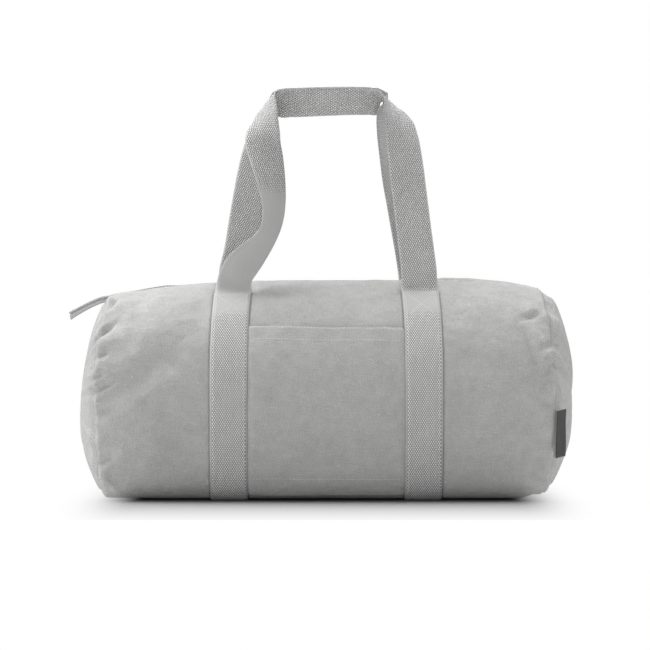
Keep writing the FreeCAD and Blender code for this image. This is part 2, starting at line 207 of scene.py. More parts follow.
# %% A room that looks white and gives a little light
WHITE = (1, 1, 1, 1)
ROOM_LIGHT = 0.10
world = bpy.data.worlds.new("white_room")
bpy.context.scene.world = world
world.use_nodes = True
room = world.node_tree
fill = room.nodes["Background"]
set_inputs(fill, {"Color": WHITE, "Strength": ROOM_LIGHT})
seen = wire(room, "ShaderNodeBackground", {"Color": WHITE, "Strength": 1.0})
ray = wire(room, "ShaderNodeLightPath")
either = wire(room, "ShaderNodeMixShader",
              {"Fac": ray.outputs["Is Camera Ray"], 1: fill.outputs[0], 2: seen.outputs[0]})
room.links.new(either.outputs[0], room.nodes["World Output"].inputs["Surface"])

# %% Floor: a painted shadow in grey under the bag, and further out a painted glow brighter than white, so that it has no edge
FLOOR_RADIUS, FLOOR_SIDES = 0.85, 96
FLOOR_SHADOW_GREY = (0.32, 0.32, 0.32, 1)
FAR_GLOW = 2.4                     # how much brighter than white the floor glows well in front: a painted glow that also lights the bag
FAR_FROM, FAR_FULL = -0.36, -0.60  # along y
SHADE_HALF = (0.195, 0.09, 0.0)    # half the length and width of the shaded place under the bag
SHADE_FADE = (0.112, 0.56, 1.0)    # how far outside it the shade fades away
SHADE_TAIL = 3.0                   # higher: the shade falls off sooner and has a longer, fainter tail
floor_material = bpy.data.materials.new("floor_with_painted_shadow")
floor_material.use_nodes = True
tree = floor_material.node_tree
painted_shadow = tree.nodes["Principled BSDF"]
# the grey near the bag is a painted shadow, which the shade below mixes in and fades out
set_inputs(painted_shadow, {"Base Color": FLOOR_SHADOW_GREY, "Roughness": 0.9, "Specular IOR Level": 0.1})
place = wire(tree, "ShaderNodeTexCoord").outputs["Object"]
spot = place
for operation, by in (("ABSOLUTE", None), ("SUBTRACT", SHADE_HALF), ("MAXIMUM", (0.0, 0.0, 0.0)),
                      ("DIVIDE", SHADE_FADE), ("LENGTH", None)):
    step = wire(tree, "ShaderNodeVectorMath", {0: spot, **({1: by} if by else {})}, operation=operation)
    spot = step.outputs["Value" if operation == "LENGTH" else "Vector"]
fade = wire(tree, "ShaderNodeMapRange", {"Value": spot, "To Min": 1.0, "To Max": 0.0},
            interpolation_type="SMOOTHSTEP")
shaded = wire(tree, "ShaderNodeMath", {0: fade.outputs["Result"], 1: SHADE_TAIL}, operation="POWER")
ahead = wire(tree, "ShaderNodeSeparateXYZ", {0: place}).outputs["Y"]
brighter = wire(tree, "ShaderNodeMapRange", {"Value": ahead, "From Min": FAR_FULL, "From Max": FAR_FROM,
                                             "To Min": FAR_GLOW, "To Max": 1.0})
# away from the bag the floor is a painted glow, brightest well in front, where it lights the bag's lower
# front
glow = wire(tree, "ShaderNodeEmission", {"Strength": brighter.outputs["Result"]})
mixed = wire(tree, "ShaderNodeMixShader", {"Fac": shaded.outputs[0], 1: glow.outputs[0], 2: painted_shadow.outputs[0]})
tree.links.new(mixed.outputs[0], tree.nodes["Material Output"].inputs["Surface"])
rim = [(FLOOR_RADIUS * math.cos(a), FLOOR_RADIUS * math.sin(a), 0.0)
       for a in np.linspace(0, 2 * math.pi, FLOOR_SIDES, endpoint=False)]
floor = new_object("floor", rim, [tuple(range(FLOOR_SIDES))], smooth=False)
floor.data.materials.append(floor_material)
print("camera", round(math.degrees(camera_data.angle), 1), "degrees wide,", len(PANELS), "panels, a floor")

# %% [markdown]
# ## Finishes
# Everything on this bag is one dyed grey cotton, and what tells the pieces apart is the weave:
# a fine, slubby plain weave in the canvas, a coarse dotted weave in the webbing, and smooth
# tape at the zip. Each finish is built from thread patterns on the map in metres.


# %% A material with short calls
class Finish:
    """A material with short calls for the nodes it needs."""

    def __init__(self, name, roughness, sheen=0.0, metallic=0.0):
        self.material = bpy.data.materials.new(name)
        self.material.use_nodes = True
        self.tree = self.material.node_tree
        self.shader = self.tree.nodes["Principled BSDF"]
        set_inputs(self.shader, {"Roughness": roughness, "Metallic": metallic, "Sheen Weight": sheen,
                                 "Specular IOR Level": 0.5 if metallic else 0.2})

    def place(self, scale=(1, 1, 1), turn=0.0, by="UV"):
        coords = wire(self.tree, "ShaderNodeTexCoord")
        return wire(self.tree, "ShaderNodeMapping", {"Vector": coords.outputs[by], "Scale": scale,
                                                     "Rotation": (0, 0, turn)}).outputs["Vector"]

    def threads(self, where, pitch, direction="X", wobble=0.0):
        """Bands across X or Y, one every pitch metres."""
        return wire(self.tree, "ShaderNodeTexWave",
                    {"Vector": where, "Scale": math.pi / 10 / pitch, "Distortion": wobble, "Detail": 1.0,
                     "Detail Scale": 0.4}, bands_direction=direction).outputs["Fac"]

    def cloud(self, where, size, detail=2.0, roughness=0.5):
        """Soft noise with lumps about size metres across."""
        return wire(self.tree, "ShaderNodeTexNoise", {"Vector": where, "Scale": 1 / size, "Detail": detail,
                                                      "Roughness": roughness}).outputs["Fac"]

    def math(self, kind, *values):
        return wire(self.tree, "ShaderNodeMath", dict(enumerate(values)), operation=kind).outputs[0]

    def weigh(self, *terms):
        """1 plus each (pattern, strength), the pattern taken about its middle of a half."""
        total = 1.0
        for pattern, strength in terms:
            total = self.math("ADD", total, self.math("MULTIPLY_ADD", pattern, strength, -strength / 2))
        return total

    def ramp(self, value, start, end):
        """0 below start, 1 above end, smooth between them."""
        return wire(self.tree, "ShaderNodeMapRange", {"Value": value, "From Min": start, "From Max": end},
                    interpolation_type="SMOOTHSTEP").outputs["Result"]

    def tint(self, colour, brightness):
        node = wire(self.tree, "ShaderNodeVectorMath", {0: colour, "Scale": brightness}, operation="SCALE")
        self.tree.links.new(node.outputs[0], self.shader.inputs["Base Color"])

    def relief(self, height, depth, strength=1.0):
        node = wire(self.tree, "ShaderNodeBump", {"Height": height, "Distance": depth, "Strength": strength})
        self.tree.links.new(node.outputs[0], self.shader.inputs["Normal"])


# %% Washed canvas
CANVAS_PITCH = 0.00206            # between threads, on the slant


def canvas_finish():
    f = Finish("washed_canvas", 0.92, sheen=0.08)
    where = f.place()
    slant = f.place((0.915, 1.075, 1), math.radians(45))
    weave = f.math("MULTIPLY", *(f.threads(slant, CANVAS_PITCH, axis, 3.0) for axis in "XY"))
    slub_down = f.cloud(f.place((1, 0.14, 1)), 0.0011, 2.0)
    slub_across = f.cloud(f.place((0.14, 1, 1)), 0.0012, 2.0)
    fleck = f.cloud(where, 0.0018, 3.0, 0.7)
    wash = f.cloud(where, 0.030, 3.0, 0.6)
    crumple_and_shade = f.cloud(where, 0.011, 3.0, 0.55)
    speck = f.ramp(f.cloud(where, 0.0030, 1.0), 0.70, 0.78)
    # the crumple noise also tints the canvas, lighter on its ridges and darker in its hollows: partly random
    # tone, partly painted shade of the crumple
    f.tint((0.60, 0.60, 0.595),
           f.weigh((weave, 0.30), (slub_down, 0.18), (slub_across, 0.18), (fleck, 0.46), (wash, 0.18),
                   (crumple_and_shade, 0.20), (speck, 0.26)))
    slubs = f.math("ADD", slub_down, slub_across)
    height = f.math("ADD", f.math("MULTIPLY", weave, 0.25), f.math("MULTIPLY_ADD", crumple_and_shade, 5.0, slubs))
    f.relief(height, 0.0004, 0.8)
    return f.material


# %% Webbing, with smooth selvedges, painted shade between the yarns and a painted highlight at each edge
WEBBING_PITCH = 0.0017
SMOOTH_WEAVE_REACH = 0.033                   # how far below the hinge the weave is drawn smooth, without its painted gap shade: the box of stitches presses it flat, and the top of the strap faces the light
WEB_LOW, WEB_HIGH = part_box("left_body_strap")
WEB_WIDTH = WEB_HIGH.x - WEB_LOW.x
print("webbing is", round(WEB_WIDTH / MM, 1), "mm wide")


def webbing_finish():
    f = Finish("cotton_webbing", 0.9, sheen=0.06)
    where = f.place()
    split = wire(f.tree, "ShaderNodeSeparateXYZ", {0: where})
    turned = f.place((1, 0.606, 1), math.radians(45))
    dots = f.math("MULTIPLY", *(f.threads(turned, WEBBING_PITCH, axis, 0.3) for axis in "XY"))
    edge = f.math("ABSOLUTE", f.math("SUBTRACT", split.outputs["X"], 0.5 * WEB_WIDTH))
    body = f.math("LESS_THAN", edge, 0.5 * WEB_WIDTH - 0.0013)
    # a thin lighter line just inside each edge: a painted highlight on the webbing's rounded edges
    edge_highlight = f.math("MULTIPLY", f.math("GREATER_THAN", edge, 0.5 * WEB_WIDTH - 0.0012),
                      f.math("LESS_THAN", edge, 0.5 * WEB_WIDTH - 0.0004))
    below_box = f.ramp(split.outputs["Y"], SMOOTH_WEAVE_REACH - 0.004, SMOOTH_WEAVE_REACH + 0.010)
    open_weave = f.math("MULTIPLY_ADD", below_box, 0.85, 0.15)
    dots = f.math("MULTIPLY", f.math("MULTIPLY", dots, body), open_weave)
    flat = f.math("MULTIPLY_ADD", f.math("MULTIPLY", open_weave, body), -0.25, 0.25)
    # light dots on dark gaps: painted shade between the yarns, besides the weave's relief
    shade = f.weigh((f.math("ADD", dots, flat), 1.25), (f.cloud(where, 0.0012, 2.0, 0.6), 0.20),
                    (f.cloud(where, 0.03, 2.0), 0.10))
    f.tint((0.765, 0.765, 0.76), f.math("MULTIPLY_ADD", edge_highlight, 0.08, shade))
    f.relief(dots, 0.0005, 0.8)
    return f.material


# %% Tape, binding, thread, coil, metal and label
def tape_finish(name, colour, pitch):
    f = Finish(name, 0.85, sheen=0.05)
    where = f.place(by="Object")
    ribs = f.threads(where, pitch, "DIAGONAL", 0.2)
    fleck = f.cloud(where, 0.0015, 2.0)
    f.tint(colour, f.weigh((ribs, 0.16), (fleck, 0.10)))
    f.relief(ribs, 0.0001, 0.5)
    return f.material


def thread_finish():
    f = Finish("spun_thread", 0.8, sheen=0.1)
    where = f.place(by="Object")
    ply = f.threads(where, 0.0007, "DIAGONAL", 0.0)
    f.tint((0.76, 0.76, 0.755), f.weigh((ply, 0.25), (f.cloud(where, 0.002), 0.15)))
    f.relief(ply, 0.0001, 0.6)
    return f.material


def coil_finish():
    f = Finish("nylon_coil", 0.45)
    where = f.place(by="Object")
    f.tint((0.30, 0.30, 0.30), f.weigh((f.cloud(where, 0.004), 0.2)))
    f.relief(f.cloud(where, 0.0008), 0.00005, 0.4)
    return f.material


def metal_finish():
    f = Finish("satin_nickel", 0.32, metallic=1.0)
    where = f.place((0.15, 1, 1), by="Object")
    brushed = f.cloud(where, 0.0006, 2.0)
    f.tint((0.55, 0.55, 0.56), f.weigh((brushed, 0.12)))
    f.relief(brushed, 0.00003, 0.4)
    return f.material


def label_finish():
    f = Finish("woven_label", 0.55, sheen=0.05)
    where = f.place()
    weave = f.math("MULTIPLY", f.threads(where, 0.0005, "X"), f.threads(where, 0.0005, "Y"))
    f.tint((0.085, 0.085, 0.088), f.weigh((weave, 0.3), (f.cloud(where, 0.004), 0.2)))
    f.relief(weave, 0.0001, 0.5)
    return f.material


CANVAS, WEBBING, THREAD = canvas_finish(), webbing_finish(), thread_finish()
ZIP_TAPE = tape_finish("zip_tape", (0.46, 0.46, 0.455), 0.0016)
BINDING = tape_finish("bias_binding", (0.55, 0.55, 0.545), 0.0011)
COIL, METAL, LABEL = coil_finish(), metal_finish(), label_finish()


def dress(piece, material, body, replaced, joined_at=None):
    """Gives a piece its finish and the body that it moves with, and hides the node that it stands for.

    With joined_at, a pair of points, the piece is given no body, and its place is baked into its mesh.
    """
    piece.data.materials.clear()
    piece.data.materials.append(material)
    if joined_at:
        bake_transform(piece)
    else:
        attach(piece, body)
    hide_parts(replaced)


print("finishes:", *(m.name for m in (CANVAS, WEBBING, ZIP_TAPE, BINDING, THREAD, COIL, METAL, LABEL)))

# %% [markdown]
# ## The shape of the filled bag
# A filled barrel bag isn't a true cylinder. It is flat where it stands, its corners are tighter
# than its sides, and beside the zip the cloth rises to a soft crest and falls into a valley.
# Towards the ends the barrel is a little smaller. The outline across the bag is worked out
# once, as a line from one edge of the zip round under the bag to the other, and every place
# on the cloth is then found by how far along the bag and how far round the outline it is.

# %% Sizes of the barrel
BARREL_LOW, BARREL_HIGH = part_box("barrel_panel")
BASE_Z = BARREL_LOW.z
RADIUS = (BARREL_HIGH.y - BARREL_LOW.y) / 2
SEAM_X = BARREL_HIGH.x
BASE_HALF = 78 * MM               # half of the flat base
BASE_POWER = 2.9                  # how square the lower corners are: 2 would be an ellipse
CANVAS_THICK = 1.0 * MM
CENTRE_Z = 107.3 * MM             # height of the widest place above the base
SLOT_HALF = 7 * MM
CREST_Y = 25 * MM
VALLEY = 8 * MM
AROUND = 264                      # points round the cloth
CREST_POINTS, SIDE_POINTS = 40, 120           # points on stretches of the outline


# %% The outline across the bag
def half_outline():
    """(y, z above the base) from the zip's edge down the back to the middle of the base."""
    y = np.linspace(SLOT_HALF, CREST_Y, CREST_POINTS)
    z = CENTRE_Z + np.sqrt(RADIUS ** 2 - y ** 2)
    z = z - VALLEY * (1 - smoothstep((y - SLOT_HALF) / (CREST_Y - SLOT_HALF))) ** 1.3
    side = np.linspace(math.acos(CREST_Y / RADIUS), 0, SIDE_POINTS)[1:]
    turn = np.linspace(0, math.pi / 2, 100)[1:]
    flat = np.linspace(BASE_HALF, 0, CREST_POINTS)[1:]
    low_y = BASE_HALF + (RADIUS - BASE_HALF) * np.cos(turn) ** (2 / BASE_POWER)
    low_z = CENTRE_Z * (1 - np.sin(turn) ** (2 / BASE_POWER))
    ys = np.concatenate([y, RADIUS * np.cos(side), low_y, flat])
    zs = np.concatenate([z, CENTRE_Z + RADIUS * np.sin(side), low_z, flat * 0])
    return ys, zs


HALF_Y, HALF_Z = half_outline()
OUTLINE_Y = np.concatenate([-HALF_Y, HALF_Y[::-1][1:]])
OUTLINE_Z = np.concatenate([HALF_Z, HALF_Z[::-1][1:]])
STEP = np.hypot(np.diff(OUTLINE_Y), np.diff(OUTLINE_Z))
ROUND_LENGTH = np.concatenate([[0], np.cumsum(STEP)])
GIRTH = ROUND_LENGTH[-1]
print("the cloth round the bag is", round(GIRTH / MM), "mm from zip edge to zip edge")

# %% How the barrel changes along its length
CREST_HEIGHTS = [(-240, 216.8), (-215, 220.8), (-190, 224.2), (-150, 229.4), (-80, 232.3), (0, 233.5),
                 (80, 234.4), (150, 235.8), (190, 233.8), (213, 230.2), (240, 224.6)]
FRONT_SAG = [(-240, 0), (-190, 1.6), (-150, 1.3), (-105, 0.4), (0, 0.7), (80, 1.0), (130, 2.2), (185, 3.0),
             (225, 2.4), (240, 0.5)]
END_DEPTH = {-1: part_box("left_end_panel")[1].y / RADIUS, 1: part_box("right_end_panel")[1].y / RADIUS}
STRAIGHT_X = 175 * MM


def hermite(a, b, slope_a, slope_b, gap, t):
    """A smooth step from a to b over a gap, with those slopes at its ends."""
    return ((2 * t ** 3 - 3 * t ** 2 + 1) * a + (t ** 3 - 2 * t ** 2 + t) * gap * slope_a
            + (3 * t ** 2 - 2 * t ** 3) * b + (t ** 3 - t ** 2) * gap * slope_b)


def curve_through(points, at):
    """A smooth line through (place, value) points in mm, read at the places in at."""
    xs, ys = (np.array(c, float) * MM for c in zip(*points))
    slope = np.gradient(ys, xs)
    i = np.clip(np.searchsorted(xs, at) - 1, 0, len(xs) - 2)
    gap = xs[i + 1] - xs[i]
    return hermite(ys[i], ys[i + 1], slope[i], slope[i + 1], gap, np.clip((at - xs[i]) / gap, 0, 1))


def by_side(x, values):
    """The value for the left or the right end of the bag, at each place along it."""
    return np.where(x < 0, values[-1], values[1])


def end_fall(x):
    """0 in the straight middle of the barrel, 1 at its end seams."""
    return np.clip((np.abs(x) - STRAIGHT_X) / (SEAM_X - STRAIGHT_X), 0, 1) ** 2


# reach of the bow, how it is stretched and shifted along the height, and how far it is set back
SEAM_BOW = {-1: (11.0 * MM, 1.02, 0.04, 6 * MM), 1: (9.0 * MM, 1.0, 0.10, 8.5 * MM)}


def seam_bow(side, z):
    """How far an end seam stands from its plane at a height: out at the middle, in at top and base."""
    reach, stretch, shift, back = SEAM_BOW[side]
    level = np.clip(z / (2 * RADIUS), 0, 1)
    return side * (reach * np.sin(math.pi * np.clip(level * stretch + shift, 0, 1)) - back)


EVENNESS = 0.86                    # below 1, the places along the bag crowd towards its ends
STRAP_STEP = 0.85 * MM             # between the extra places at each edge of a strap


def along_bag():
    """Places along the bag, closer together at the seams, where the cloth puckers, and at the straps."""
    t = np.linspace(-1, 1, 140)
    even = SEAM_X * np.sin(t * math.pi / 2 * EVENNESS) / math.sin(math.pi / 2 * EVENNESS)
    edges = [side * STRAP_X + out * WEB_WIDTH / 2 + side * step * STRAP_STEP
             for side in (-1, 1) for out in (-1, 1) for step in range(-5, 4)]
    kept = [x for x in even if min(abs(x - e) for e in edges) > 1.2 * MM]
    return np.array(sorted(kept + edges))


STRAP_X = (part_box("right_body_strap")[0].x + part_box("right_body_strap")[1].x) / 2
BAG_X = along_bag()
ALONG = len(BAG_X)
BAG_ROUND = np.linspace(0, GIRTH, AROUND)


def barrel_shape():
    """The barrel's cloth as a grid of points, before its folds."""
    x = BAG_X[:, None]
    y0 = np.interp(BAG_ROUND, ROUND_LENGTH, OUTLINE_Y)[None]
    z0 = np.interp(BAG_ROUND, ROUND_LENGTH, OUTLINE_Z)[None]
    fall = end_fall(x)
    depth = 1 - (1 - by_side(x, END_DEPTH)) * fall
    crest = curve_through(CREST_HEIGHTS, BAG_X)[:, None] - BASE_Z
    z = z0 * (crest / (CENTRE_Z + math.sqrt(RADIUS ** 2 - CREST_Y ** 2))) + BASE_Z
    bow = by_side(x, {side: seam_bow(side, z) for side in (-1, 1)})
    return np.stack([x + bow * fall, y0 * depth, z], -1)


ZIP_EDGE_Z = BASE_Z + CENTRE_Z + RADIUS - VALLEY
ZIP_EDGE_AT_SEAM = {-1: 215.2 * MM, 1: 221.0 * MM}
ZIP_LEVEL_X = 174 * MM            # the slider runs this far to the left, and the edges are level there
ZIP_FALL_X = 66 * MM


def zip_edge_height(x):
    """Height of the folded canvas edges beside the zip: level where the slider runs."""
    left_fall = np.clip((np.abs(x) - ZIP_LEVEL_X) / ZIP_FALL_X, 0, 1) ** 1.1
    fall = by_side(x, {-1: left_fall, 1: end_fall(x)})
    return ZIP_EDGE_Z + (by_side(x, ZIP_EDGE_AT_SEAM) - ZIP_EDGE_Z) * fall


BARREL = barrel_shape()
near_zip = 1 - smoothstep((np.abs(BARREL[..., 1]) - SLOT_HALF) / (CREST_Y - SLOT_HALF))
near_zip = near_zip * (BARREL[..., 2] > BASE_Z + CENTRE_Z)
edge_move = zip_edge_height(BAG_X) - BARREL[:, 0, 2]
BARREL[..., 2] += near_zip * edge_move[:, None]
in_front = smoothstep((-BARREL[..., 1] - 4 * MM) / (16 * MM))
in_front = in_front * smoothstep((BARREL[..., 2] - 150 * MM) / (70 * MM))
BARREL[..., 2] -= curve_through(FRONT_SAG, BAG_X)[:, None] * in_front
print("barrel grid", BARREL.shape, "height", round(BARREL[..., 2].max() / MM, 1), "mm")

# %% [markdown]
# ## Folds and puckers
# Cloth that is gathered into a seam stands off in short ridges that run away from the seam and
# fade. Longer soft folds run from the seams towards the middle, where the filling pulls the
# cloth. The plain ones on the front are listed one by one, most of them at the ends, and the
# rest come from noise with a fixed seed.

# %% Noise on the cloth
SEED = 7.3


def lumps(u, v, size, seed):
    """Smooth noise from about -1 to 1 on a grid, with lumps of size (along u, along v)."""
    found = np.empty(u.shape)
    for index in np.ndindex(u.shape):
        found[index] = noise.noise(Vector((u[index] / size[0], v[index] / size[1], seed + SEED)))
    return found


def puckers(away, along, seed, reach, depth, size):
    """Round ridges with sharp valleys between them, at right angles to a seam that is away off."""
    ridge = 2.2 * np.abs(lumps(along + 0.3 * away, away * 0.25, (size, size * 2), seed)) - 0.45
    return depth * ridge * np.exp(-np.abs(away) / reach)


# %% Folds listed one by one: where they start and end (x, height), how wide and how deep
FOLD_NARROW, FOLD_DEEPER = 0.88, 1.35
FRONT_FOLDS = [
    ((-243, 172), (-222, 188), 3.5, -4.2), ((-243, 163), (-214, 172), 8, 3.0),
    ((-243, 150), (-228, 156), 3, -2.6), ((-243, 130), (-232, 134), 3, -2.6),
    ((-243, 116), (-219, 129), 4, -3.8), ((-243, 103), (-200, 112), 9, 2.8),
    ((-240, 92), (-150, 168), 15, -3.0), ((-228, 84), (-160, 128), 12, 2.0),
    ((-226, 212), (-232, 202), 3, -3.4), ((-222, 206), (-200, 196), 7, 1.8),
    ((-215, 200), (-190, 214), 8, -2.0), ((-236, 40), (-222, 50), 4, -2.6),
    ((-236, 28), (-205, 60), 8, 2.2), ((-236, 12), (-212, 20), 4, -3.4),
    ((-232, 24), (-214, 6), 4, 3.0), ((-190, 176), (-150, 186), 10, 1.8),
    ((-186, 150), (-140, 140), 12, -1.8), ((226, 196), (206, 191), 4, -3.4),
    ((236, 190), (212, 203), 7, 2.8), ((240, 168), (226, 158), 4, -3.0),
    ((240, 148), (227, 130), 5, -3.8), ((240, 158), (224, 146), 5, 2.4),
    ((240, 132), (218, 112), 5, -2.6), ((214, 186), (240, 120), 8, 2.6),
    ((206, 178), (228, 128), 8, -2.2), ((240, 100), (222, 106), 4, -2.0),
    ((232, 20), (210, 34), 6, -2.2), ((228, 14), (200, 20), 6, 1.8),
    ((170, 205), (205, 176), 12, 1.6), ((150, 150), (205, 140), 14, -1.6),
    ((-150, 60), (-190, 120), 20, -1.8), ((150, 60), (196, 118), 18, 1.6),
    ((-78, 222), (-40, 214), 4, -1.8), ((-70, 200), (-20, 206), 9, 1.2),
    ((78, 214), (30, 205), 8, -1.2),
]


def placed_folds(points, folds):
    """Height of the listed folds at each point, seen from the front."""
    x, z = points[..., 0], points[..., 2]
    total = np.zeros(x.shape)
    for start, end, width, depth in folds:
        width, depth = width * FOLD_NARROW, depth * FOLD_DEEPER
        a, b = (np.array(p, float) * MM for p in (start, end))
        run = b - a
        length = np.hypot(*run)
        along = ((x - a[0]) * run[0] + (z - a[1]) * run[1]) / length ** 2
        off = ((x - a[0]) * run[1] - (z - a[1]) * run[0]) / length
        fade = smoothstep((along + 0.35) / 0.5) * smoothstep((1.35 - along) / 0.9)
        total += depth * MM * np.exp(-(off / (width * MM)) ** 2) * fade
    return total


def ease_at(distance, reach):
    """0 on a line that holds the cloth, 1 away from it."""
    return smoothstep(np.abs(distance) / reach)


# %% The barrel's cloth, folded
STRAP_LEAN, LEAN_BELOW = 3.0 * MM, 150 * MM
STRAP_GROOVE = 1.3 * MM           # depth and half width of the groove that a strap presses beside it
SEAM_TUCK = 3.2 * MM              # how far the end seams pull the cloth in
LABEL_PRESS = 5.5 * MM            # how far the lower right corner is drawn in, where the label is sewn


def strap_middle(side, v):
    """Where the middle of a strap lies along the bag: the straps lean in a little towards the top."""
    return side * (STRAP_X - smoothstep((LEAN_BELOW - np.minimum(v, GIRTH - v)) / LEAN_BELOW) * STRAP_LEAN)


def fold_barrel(points):
    normal = grid_normals(points, FRONT_SAMPLE, (0, -1, 0))
    x = BAG_X[:, None] + 0 * BAG_ROUND[None]
    v = BAG_ROUND[None] + 0 * BAG_X[:, None]
    from_left, from_right = x + SEAM_X, SEAM_X - x
    near = np.minimum(from_left, from_right)
    front = points[..., 1] < -20 * MM
    move = np.zeros(x.shape)
    for away, seed, reach, depth, size in ((from_left, 1.0, 10, 1.9, 19), (from_right, 2.0, 10, 1.8, 21),
                                           (from_left, 3.0, 38, 1.3, 44), (from_right, 4.0, 34, 1.2, 48)):
        move += puckers(away, v, seed, reach * MM, depth * MM, size * MM)
    move += 1.6 * MM * lumps(x + 0.5 * v, v, (62 * MM, 46 * MM), 5.0)
    worn = 0.45 + 0.55 * np.exp(-near / (70 * MM))
    move += 1.1 * MM * worn * lumps(x, v - 0.4 * x, (24 * MM, 17 * MM), 6.0)
    move += 0.42 * MM * worn * lumps(x + 0.6 * v, v, (9 * MM, 12 * MM), 8.0)
    creased = 0.5 - 1.8 * np.abs(lumps(x - 0.5 * v, v + 0.3 * x, (38 * MM, 30 * MM), 9.0))
    move += 0.8 * MM * worn * creased
    move += placed_folds(points, FRONT_FOLDS) * front
    # what holds the cloth flat: the floor, the straps and the zip
    base = smoothstep((points[..., 2] - BASE_Z) / (14 * MM))
    from_strap = np.minimum(np.abs(x - STRAP_X), np.abs(x + STRAP_X)) - WEB_WIDTH / 2 + 4 * MM
    at_strap = ease_at(np.maximum(from_strap, 0), 12 * MM)
    at_zip = ease_at(np.minimum(v, GIRTH - v), 30 * MM)
    move = move * (0.15 + 0.85 * base) * (0.25 + 0.75 * at_strap) * (0.2 + 0.8 * at_zip)
    for side in (-1, 1):
        beside = np.abs(np.abs(x - strap_middle(side, v)) - WEB_WIDTH / 2 - 0.6 * MM)
        move = move - STRAP_GROOVE * np.exp(-(beside / STRAP_GROOVE) ** 2) * at_zip
    at_label = smoothstep((x - 205 * MM) / (25 * MM)) * smoothstep((98 * MM - points[..., 2]) / (60 * MM))
    move = move - LABEL_PRESS * at_label * front
    uneven = 1 + 0.9 * lumps(v, 0 * v + np.sign(x), (14 * MM, 1.0), 10.0)
    tuck = -SEAM_TUCK * uneven * np.exp(-(near / (2.0 * MM)) ** 2)
    return points + normal * (move + tuck)[..., None]


FRONT_SAMPLE = (ALONG // 2, AROUND // 4)      # a place on the front of the grid
BARREL = fold_barrel(BARREL)
NORMAL = grid_normals(BARREL, FRONT_SAMPLE, (0, -1, 0))
print("folds moved the cloth; the grid now reaches", np.round(np.ptp(BARREL.reshape(-1, 3), axis=0) / MM, 1))


# %% Finding a place on the folded cloth
def on_bag(x, v):
    """Points and outward directions on the cloth at places (x along the bag, v round it)."""
    x, v = np.broadcast_arrays(np.asarray(x, float), np.asarray(v, float))
    i = np.clip(np.searchsorted(BAG_X, x) - 1, 0, ALONG - 2)
    s = ((x - BAG_X[i]) / (BAG_X[i + 1] - BAG_X[i]))[..., None]
    w = np.clip(v / GIRTH * (AROUND - 1), 0, AROUND - 1.001)
    j = w.astype(int)
    t = (w - j)[..., None]
    points, normal = ((grid[i, j] * (1 - s) + grid[i + 1, j] * s) * (1 - t)
                      + (grid[i, j + 1] * (1 - s) + grid[i + 1, j + 1] * s) * t for grid in (BARREL, NORMAL))
    return points, unit(normal)


def round_at(height=None, y=None):
    """How far round the outline a place on the front is, by its height or its distance from the middle."""
    if height is not None:
        side = slice(CREST_POINTS, len(HALF_Y) - CREST_POINTS)
        order = np.argsort(OUTLINE_Z[side])
        return float(np.interp(height - BASE_Z, OUTLINE_Z[side][order], ROUND_LENGTH[side][order]))
    up = slice(CREST_POINTS, SIDE_POINTS)
    return float(np.interp(abs(y), -OUTLINE_Y[up], ROUND_LENGTH[up]))


# %% Sew the barrel panel
uv = np.stack(np.broadcast_arrays(BAG_X[:, None], BAG_ROUND[None]), -1)
barrel = cloth("barrel_panel_cloth", BARREL - NORMAL * CANVAS_THICK / 2, NORMAL, CANVAS_THICK, uv)
dress(barrel, CANVAS, "bag", "barrel_panel")
print("barrel has", len(barrel.data.polygons), "faces")

# %% [markdown]
# ## The two ends
# Each end is one round panel. It starts in the same tucked seam as the barrel and bulges to a
# flat middle. Rings of points shrink from the seam towards a middle a little below half
# height, so no seam or pleat is needed, and soft gathers run in from the seam.

# %% End panels
RINGS = 46
DOME = {-1: 24.5 * MM, 1: 24 * MM}
DOME_POWER = (2.1, 2.4)           # how round the upper half is, and how full the lower half
SHOULDER = {-1: 0.0 * MM, 1: 9 * MM}            # how far the top of an end stands out beside its seam
DOME_MIDDLE = 102 * MM                          # height that the rings shrink towards


def end_cloth(side):
    seam = BARREL[0 if side < 0 else -1]
    ease = np.linspace(0, 1, 8)[1:-1, None]
    seam = np.concatenate([seam, seam[-1] * (1 - ease) + seam[0] * ease])
    out = unit(np.cross([1.0, 0, 0], np.roll(seam, -1, 0) - np.roll(seam, 1, 0)))
    share = (1 - np.linspace(0, 1, RINGS) * 0.985)[:, None]
    middle = np.array([side * SEAM_X, 0.0, DOME_MIDDLE])
    flat = middle + (seam - middle)[None] * share[..., None]
    away = np.linalg.norm((seam - middle)[:, 1:], axis=-1)[None] * (1 - share)
    length = np.cumsum(np.linalg.norm(np.roll(seam, -1, 0) - seam, axis=-1))[None]
    lower = smoothstep(0.5 - (seam[:, 2] - DOME_MIDDLE) / (120 * MM))[None]
    power = DOME_POWER[0] + (DOME_POWER[1] - DOME_POWER[0]) * lower
    dome = DOME[side] * (1 - share ** power) + 1.5 * MM * (1 - np.exp(-away / (3 * MM)))
    high = smoothstep((seam[:, 2] - 150 * MM) / (60 * MM))[None]
    dome += SHOULDER[side] * (1 - np.exp(-away / (4 * MM))) * share * high
    ripple = puckers(away, length + 0 * away, 11.0 + side, 18 * MM, 2.2 * MM, 24 * MM)
    ripple += 2.0 * MM * lumps(flat[..., 1], flat[..., 2], (55 * MM, 60 * MM), 13.0 + side)
    ripple *= 1 - np.exp(-away / (5 * MM))
    points = flat.copy()
    points[..., 0] = flat[..., 0] * share + side * SEAM_X * (1 - share)
    points[..., 0] += side * (dome + ripple)
    swell = 2.6 * MM * np.exp(-((away - 3 * MM) / (3.5 * MM)) ** 2)
    points += np.where(share[..., None] < 1, out[None] * swell[..., None], 0)
    points[..., 2] = np.maximum(points[..., 2], BASE_Z)
    return points


